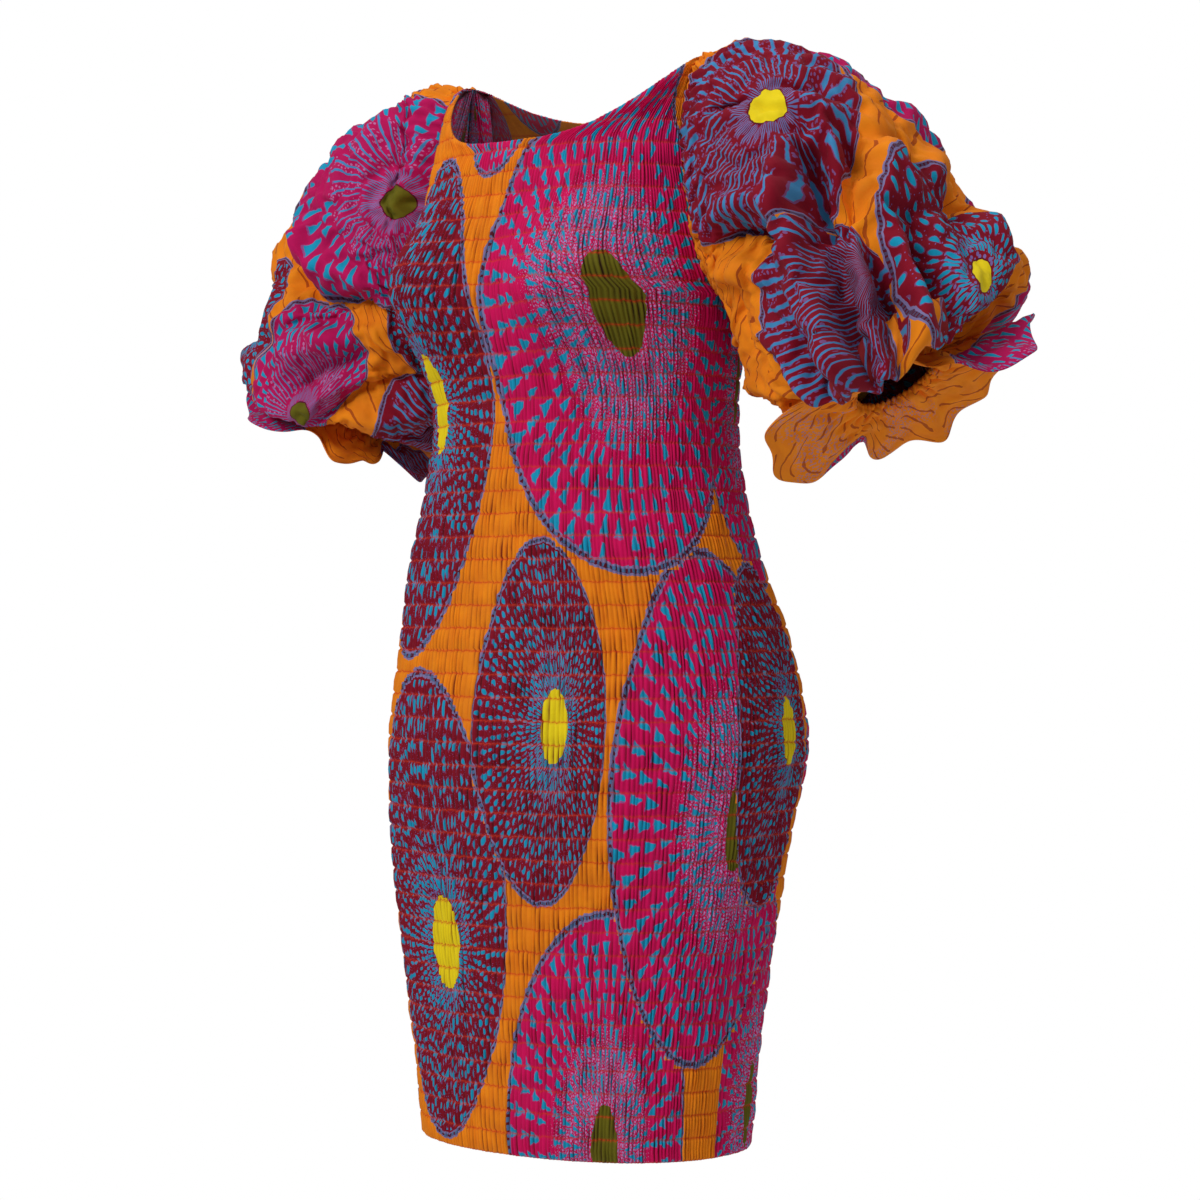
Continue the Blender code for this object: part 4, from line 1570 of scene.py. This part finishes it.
    def _surface(self, turn: np.ndarray, along: np.ndarray) -> np.ndarray:
        """Points of the crumpled sleeve, on the left-hand side."""
        turn, along = self._drawn_in(turn, along)
        ring = curve_through(SLEEVE_RINGS, along)
        tip = np.radians(ring[..., 3])
        zero = np.zeros_like(tip)
        up = np.stack([np.sin(tip), zero, np.cos(tip)], axis=-1)
        down_arm = np.stack([np.cos(tip), zero, -np.sin(tip)], axis=-1)
        upright = (1 + np.cos(turn)) / 2
        reach = between(ring[..., 5], ring[..., 4], upright)
        across = ring[..., 6]
        change = self._crumple(turn, along)
        to_edge = np.clip((along - self.elastic_ring) / (self.edge_ring - self.elastic_ring), 0.0, 1.0)
        rim_reach, rim_droop = self._rim(turn)
        spread = (rim_reach - self.elastic_reach) / (self.ruffle_reach - self.elastic_reach)
        flared = self.elastic_reach + (ring[..., 4] - self.elastic_reach) * spread + self._flutes(turn, to_edge)
        beyond = along > self.elastic_ring
        reach = np.where(beyond, flared, reach)
        across = np.where(beyond, flared, across)
        height = ring[..., 2] - self._sagging(turn, along)
        placed = np.stack([ring[..., 0], ring[..., 1], height], axis=-1)
        placed = placed + up * ((reach + change) * np.cos(turn))[..., None]
        placed[..., 1] += (across + change) * np.sin(turn)
        placed = placed + down_arm * (rim_droop * to_edge)[..., None]
        gap = between(UNDERARM_GAP, SEAM_GAP, smooth(UNDERARM_SHARE * upright))
        start = self.form.armhole_point(turn)
        start[..., 0] += gap
        share = smooth(along)[..., None]
        return np.where((along < 1)[..., None], between(start, placed, share), placed)

    def _gathers(self, turn: np.ndarray, along: np.ndarray, upright: np.ndarray) -> np.ndarray:
        """How far the gathers by the armhole and the elastic lift the cloth."""
        sway = Noise(self.seed, self.columns).at(turn / FULL_TURN * 24, along * 0.8) * 0.35
        cap_wave = 0.5 - np.abs(np.sin((turn * self.cap_gathers / 2) + sway * 3)) ** 0.8
        cap = bell(along / 1.5) * smooth(upright * 1.6 - 0.2) * smooth(along / 0.25)
        cuff_wave = 0.5 - np.abs(np.sin((turn * self.cuff_gathers / 2) + sway)) ** 0.8
        near = bell((along - self.elastic_ring) / 0.75)
        return self.cap_lift * cap * cap_wave + self.cuff_lift * near * cuff_wave

    def _crumple(self, turn: np.ndarray, along: np.ndarray) -> np.ndarray:
        """The main folds, and the smaller crumples between them."""
        inside = smooth(along / 1.2) * smooth((self.elastic_ring - along) / 1.5)
        x = turn / FULL_TURN
        coarse = Noise(self.seed + 3, 14).puffs(x * 14, along * 0.62 + 3)
        fine = Noise(self.seed + 4, 40).puffs(x * 40, along * 1.25 + 8)
        small = smooth(along / 0.8) * smooth((self.elastic_ring - along) / 0.9)
        lift = (coarse - 0.5) * self.coarse_crumple + (fine - 0.45) * self.fine_crumple
        return -self._folds(turn, along) * inside + lift * small

    def _across_fold(self, fold: Crease, turn: np.ndarray, along: np.ndarray) -> tuple[np.ndarray, ...]:
        """How places lie about a fold.

        Args:
            fold: The fold.
            turn: Angles round the sleeve, in radians.
            along: Rings down the sleeve.

        Returns:
            The distance from the fold's line in widths, its strength there, and the way back to the line in
            metres round the sleeve and metres down it.
        """
        swing = math.radians(turned_from(fold.to_deg, fold.from_deg)) * self.balloon_reach
        run = (fold.to_ring - fold.from_ring) * self.ring_spacing
        x = np.radians(turned_from(np.degrees(turn), fold.from_deg)) * self.balloon_reach
        y = (along - fold.from_ring) * self.ring_spacing
        share = np.clip((x * swing + y * run) / (swing * swing + run * run), 0.0, 1.0)
        back_x, back_y = swing * share - x, run * share - y
        strength = 1 - 0.7 * (2 * share - 1) ** 4
        return np.hypot(back_x, back_y) / fold.width, strength, back_x, back_y

    def _drawn_in(self, turn: np.ndarray, along: np.ndarray) -> tuple[np.ndarray, np.ndarray]:
        """Where the cloth of each place lies once the troughs have drawn it in towards their lines."""
        inside = smooth(along / 1.2) * smooth((self.elastic_ring - along) / 1.2)
        moved_turn, moved_along = turn, along
        for fold in self.folds:
            if fold.depth <= 0:
                continue
            apart, strength, back_x, back_y = self._across_fold(fold, turn, along)
            pull = self.fold_pull * strength * bell(apart / 1.6) * inside
            moved_turn = moved_turn + back_x * pull / self.balloon_reach
            moved_along = moved_along + back_y * pull / self.ring_spacing
        return moved_turn, np.clip(moved_along, 0.0, self.edge_ring)

    def _folds(self, turn: np.ndarray, along: np.ndarray) -> np.ndarray:
        """How far the main folds sink the balloon, with a round tube of cloth at each side of a trough."""
        depth = np.zeros_like(along)
        for fold in self.folds:
            apart, strength, _, _ = self._across_fold(fold, turn, along)
            if fold.depth > 0:
                profile = 0.5 * bell(apart) + 0.5 * np.exp(-2.4 * apart)
                profile = profile - self.tube_share * bell((apart - 1.7) / 0.8)
            else:
                profile = np.exp(-((apart / 0.8) ** 4)) ** 0.7
            depth += fold.depth * strength * profile
        return depth

    def _rim(self, turn: np.ndarray) -> tuple[np.ndarray, np.ndarray]:
        """The ruffle's reach and droop at angles, eased from each lobe to the next."""
        table = np.array([*self.ruffle, self.ruffle[0]])
        table[-1, 0] += 360
        degrees = (np.degrees(turn) - table[0, 0]) % 360 + table[0, 0]
        index = np.clip(np.searchsorted(table[:, 0], degrees, side="right") - 1, 0, len(table) - 2)
        low, high = table[index], table[index + 1]
        share = smooth((degrees - low[..., 0]) / (high[..., 0] - low[..., 0]))
        return between(low[..., 1], high[..., 1], share), between(low[..., 2], high[..., 2], share)

    def _flutes(self, turn: np.ndarray, to_edge: np.ndarray) -> np.ndarray:
        """The small flutes of the ruffle, which open towards its edge."""
        drift = Noise(self.seed + 6, 9).at(turn / FULL_TURN * 9, to_edge * 0.5)
        wave = np.sin(turn * self.ruffle_flutes + drift * 2.4)
        return wave * (self.flute_lift + drift * self.flute_change) * smooth(to_edge * 1.3)

    def _sagging(self, turn: np.ndarray, along: np.ndarray) -> np.ndarray:
        """How far the balloon hangs down over its elastic."""
        off = turned_from(np.degrees(turn), self.sag.turn_deg) / self.sag.spread_deg
        down = smooth((along - 3.8) / (7.0 - 3.8))
        tucked = smooth((7.5 - along) / 0.5)
        return self.sag.drop * np.maximum(0.0, 1 - off * off) * down * tucked

    def _close(self, mesh: bpy.types.Mesh) -> None:
        """Joins the sheet's two long edges, as the underarm seam does."""
        sheet = bmesh.new()
        sheet.from_mesh(mesh)
        rims = [vertex for vertex in sheet.verts if vertex.is_boundary]
        bmesh.ops.remove_doubles(sheet, verts=rims, dist=1e-5)
        sheet.to_mesh(mesh)
        sheet.free()


# ---------------------------------------------------------------- the studio


@dataclass(frozen=True)
class Studio:
    """A plain pale floor, soft light from above, and the camera.

    Attributes:
        azimuth_deg: How far round from the front towards the wearer's left the camera stands.
        distance, aside, eye_height: The camera's place, away from the origin, to its own right, and up.
        focal: Its focal length in millimetres.
        floor_height, floor_reach, floor_colour: The floor's height, radius and colour.
        surround: How bright the surround is as a light; the camera sees it at 1.
        lamp_aim: The height that the lamps point at.
        lamps: The soft square lamps.
    """

    azimuth_deg: float = 40.0
    distance: float = 2.723
    aside: float = 0.0107
    eye_height: float = -0.446
    focal: float = 96.42
    floor_height: float = -1.28
    floor_reach: float = 1.25
    floor_colour: Colour = (0.92, 0.92, 0.92, 1.0)
    surround: float = 0.37
    lamp_aim: float = -0.4
    lamps: tuple[tuple, ...] = (
        # name, towards the camera, to its right, up, size, watts
        ("key", 2.3, -1.9, 1.4, 1.3, 54.0),
        ("top", 0.3, 0.5, 2.4, 2.0, 16.0),
    )

    def build(self) -> None:
        """Sets up the camera, the floor and the lights."""
        azimuth = math.radians(self.azimuth_deg)
        toward = Vector((math.sin(azimuth), -math.cos(azimuth), 0.0))
        right = Vector((math.cos(azimuth), math.sin(azimuth), 0.0))
        self._camera(toward, right)
        self._floor()
        self._lights(toward, right)

    def _camera(self, toward: Vector, right: Vector) -> None:
        """The camera, level, at three quarters from the front."""
        data = bpy.data.cameras.new("camera")
        data.lens = self.focal
        data.sensor_width = 36.0
        camera = add_object("camera", data)
        camera.location = toward * self.distance + right * self.aside + Vector((0, 0, self.eye_height))
        camera.rotation_euler = (-toward).to_track_quat("-Z", "Y").to_euler()
        bpy.context.scene.camera = camera

    def _floor(self) -> None:
        """A round pale floor below the hem."""
        sheet = bmesh.new()
        bmesh.ops.create_circle(sheet, cap_ends=True, segments=96, radius=self.floor_reach)
        bmesh.ops.translate(sheet, verts=sheet.verts, vec=Vector((0, 0, self.floor_height)))
        mesh = mesh_of(sheet, "floor")
        mesh.materials.append(Bench("pale_floor").coat(Base_Color=self.floor_colour, Roughness=0.9))
        floor = add_object("floor", mesh)
        floor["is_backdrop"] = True

    def _lights(self, toward: Vector, right: Vector) -> None:
        """Soft light from above the camera's left, and a pale surround."""
        scene = bpy.context.scene
        world = bpy.data.worlds.new("studio")
        world.use_nodes = True
        sky = world.node_tree.nodes["Background"]
        seen = world.node_tree.nodes.new("ShaderNodeLightPath")
        glow = world.node_tree.nodes.new("ShaderNodeMapRange")
        glow.inputs["To Min"].default_value = self.surround
        glow.inputs["To Max"].default_value = 1.0
        world.node_tree.links.new(seen.outputs["Is Camera Ray"], glow.inputs["Value"])
        world.node_tree.links.new(glow.outputs["Result"], sky.inputs["Strength"])
        sky.inputs["Color"].default_value = (1.0, 1.0, 1.0, 1.0)
        scene.world = world
        scene.view_settings.view_transform = "Standard"
        for name, ahead, aside, above, size, watts in self.lamps:
            data = bpy.data.lights.new(name, "AREA")
            data.size = size
            data.energy = watts
            lamp = add_object(name, data)
            lamp.location = toward * ahead + right * aside + Vector((0, 0, above))
            aim = Vector((0, 0, self.lamp_aim)) - lamp.location
            lamp.rotation_euler = aim.to_track_quat("-Z", "Y").to_euler()


# ---------------------------------------------------------------- the dress


@dataclass(frozen=True)
class Dress:
    """The whole dress: two shirred panels and two balloon sleeves."""

    def build(self) -> None:
        """Makes the four pieces, and says what each stands for."""
        body, sleeve_cotton = (self._finishes(*row) for row in (("body", True), ("sleeve", False)))
        panels = (
            ShirredPanel("front_panel", True, PrintLayout(FRONT_DISCS, False), 11),
            ShirredPanel("back_panel", False, PrintLayout(BACK_DISCS, False), 23),
        )
        sleeves = (
            BalloonSleeve(
                "sleeve_left", 1, PrintLayout(LEFT_DISCS, True), LEFT_FOLDS, LEFT_RUFFLE, Sag(306, 72, 0.072), 31
            ),
            BalloonSleeve(
                "sleeve_right", -1, PrintLayout(RIGHT_DISCS, True), RIGHT_FOLDS, RIGHT_RUFFLE, Sag(300, 75, 0.045), 47
            ),
        )
        for panel in panels:
            piece = panel.build(*body)
            self._declare(piece, panel.node, "body_cotton", (panel.flat_width, DRESS_LENGTH), ["sleeve_left"])
        for sleeve in sleeves:
            piece = sleeve.build(*sleeve_cotton)
            size = (sleeve.flat_round, sleeve.flat_long)
            self._declare(piece, sleeve.node, "sleeve_cotton", size, ["front_panel", "back_panel"])

    @staticmethod
    def _finishes(part: str, shirred: bool) -> list[bpy.types.Material]:
        """The right side and the wrong side of one cotton."""
        return [WaxCotton(f"{part}_{side}_side", shirred, side == "wrong").make() for side in ("right", "wrong")]

    @staticmethod
    def _declare(piece: bpy.types.Object, node: str, slot: str, flat: tuple[float, float], rests: list[str]) -> None:
        """Hides the solid that a piece of cloth stands for, hangs the piece from the root, and logs which solid it
        stands for.
        """
        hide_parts(node)
        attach(piece, "root")
        LOG.info("%s stands for %s, with %d faces", piece.name, node, len(piece.data.polygons))


def main() -> None:
    """Builds the dress and the studio, and logs the sizes of the frame and of the dressed model."""
    logging.basicConfig(level=logging.INFO, format="%(name)s: %(message)s")
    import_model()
    frame_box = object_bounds()
    Dress().build()
    Studio().build()
    bpy.context.view_layer.update()
    sizes = {"frame": [list(corner) for corner in frame_box], "model": [list(corner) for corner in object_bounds()]}
    for name, box in sizes.items():
        LOG.info("%s box %s", name, box)


if __name__ == "__main__":
    main()
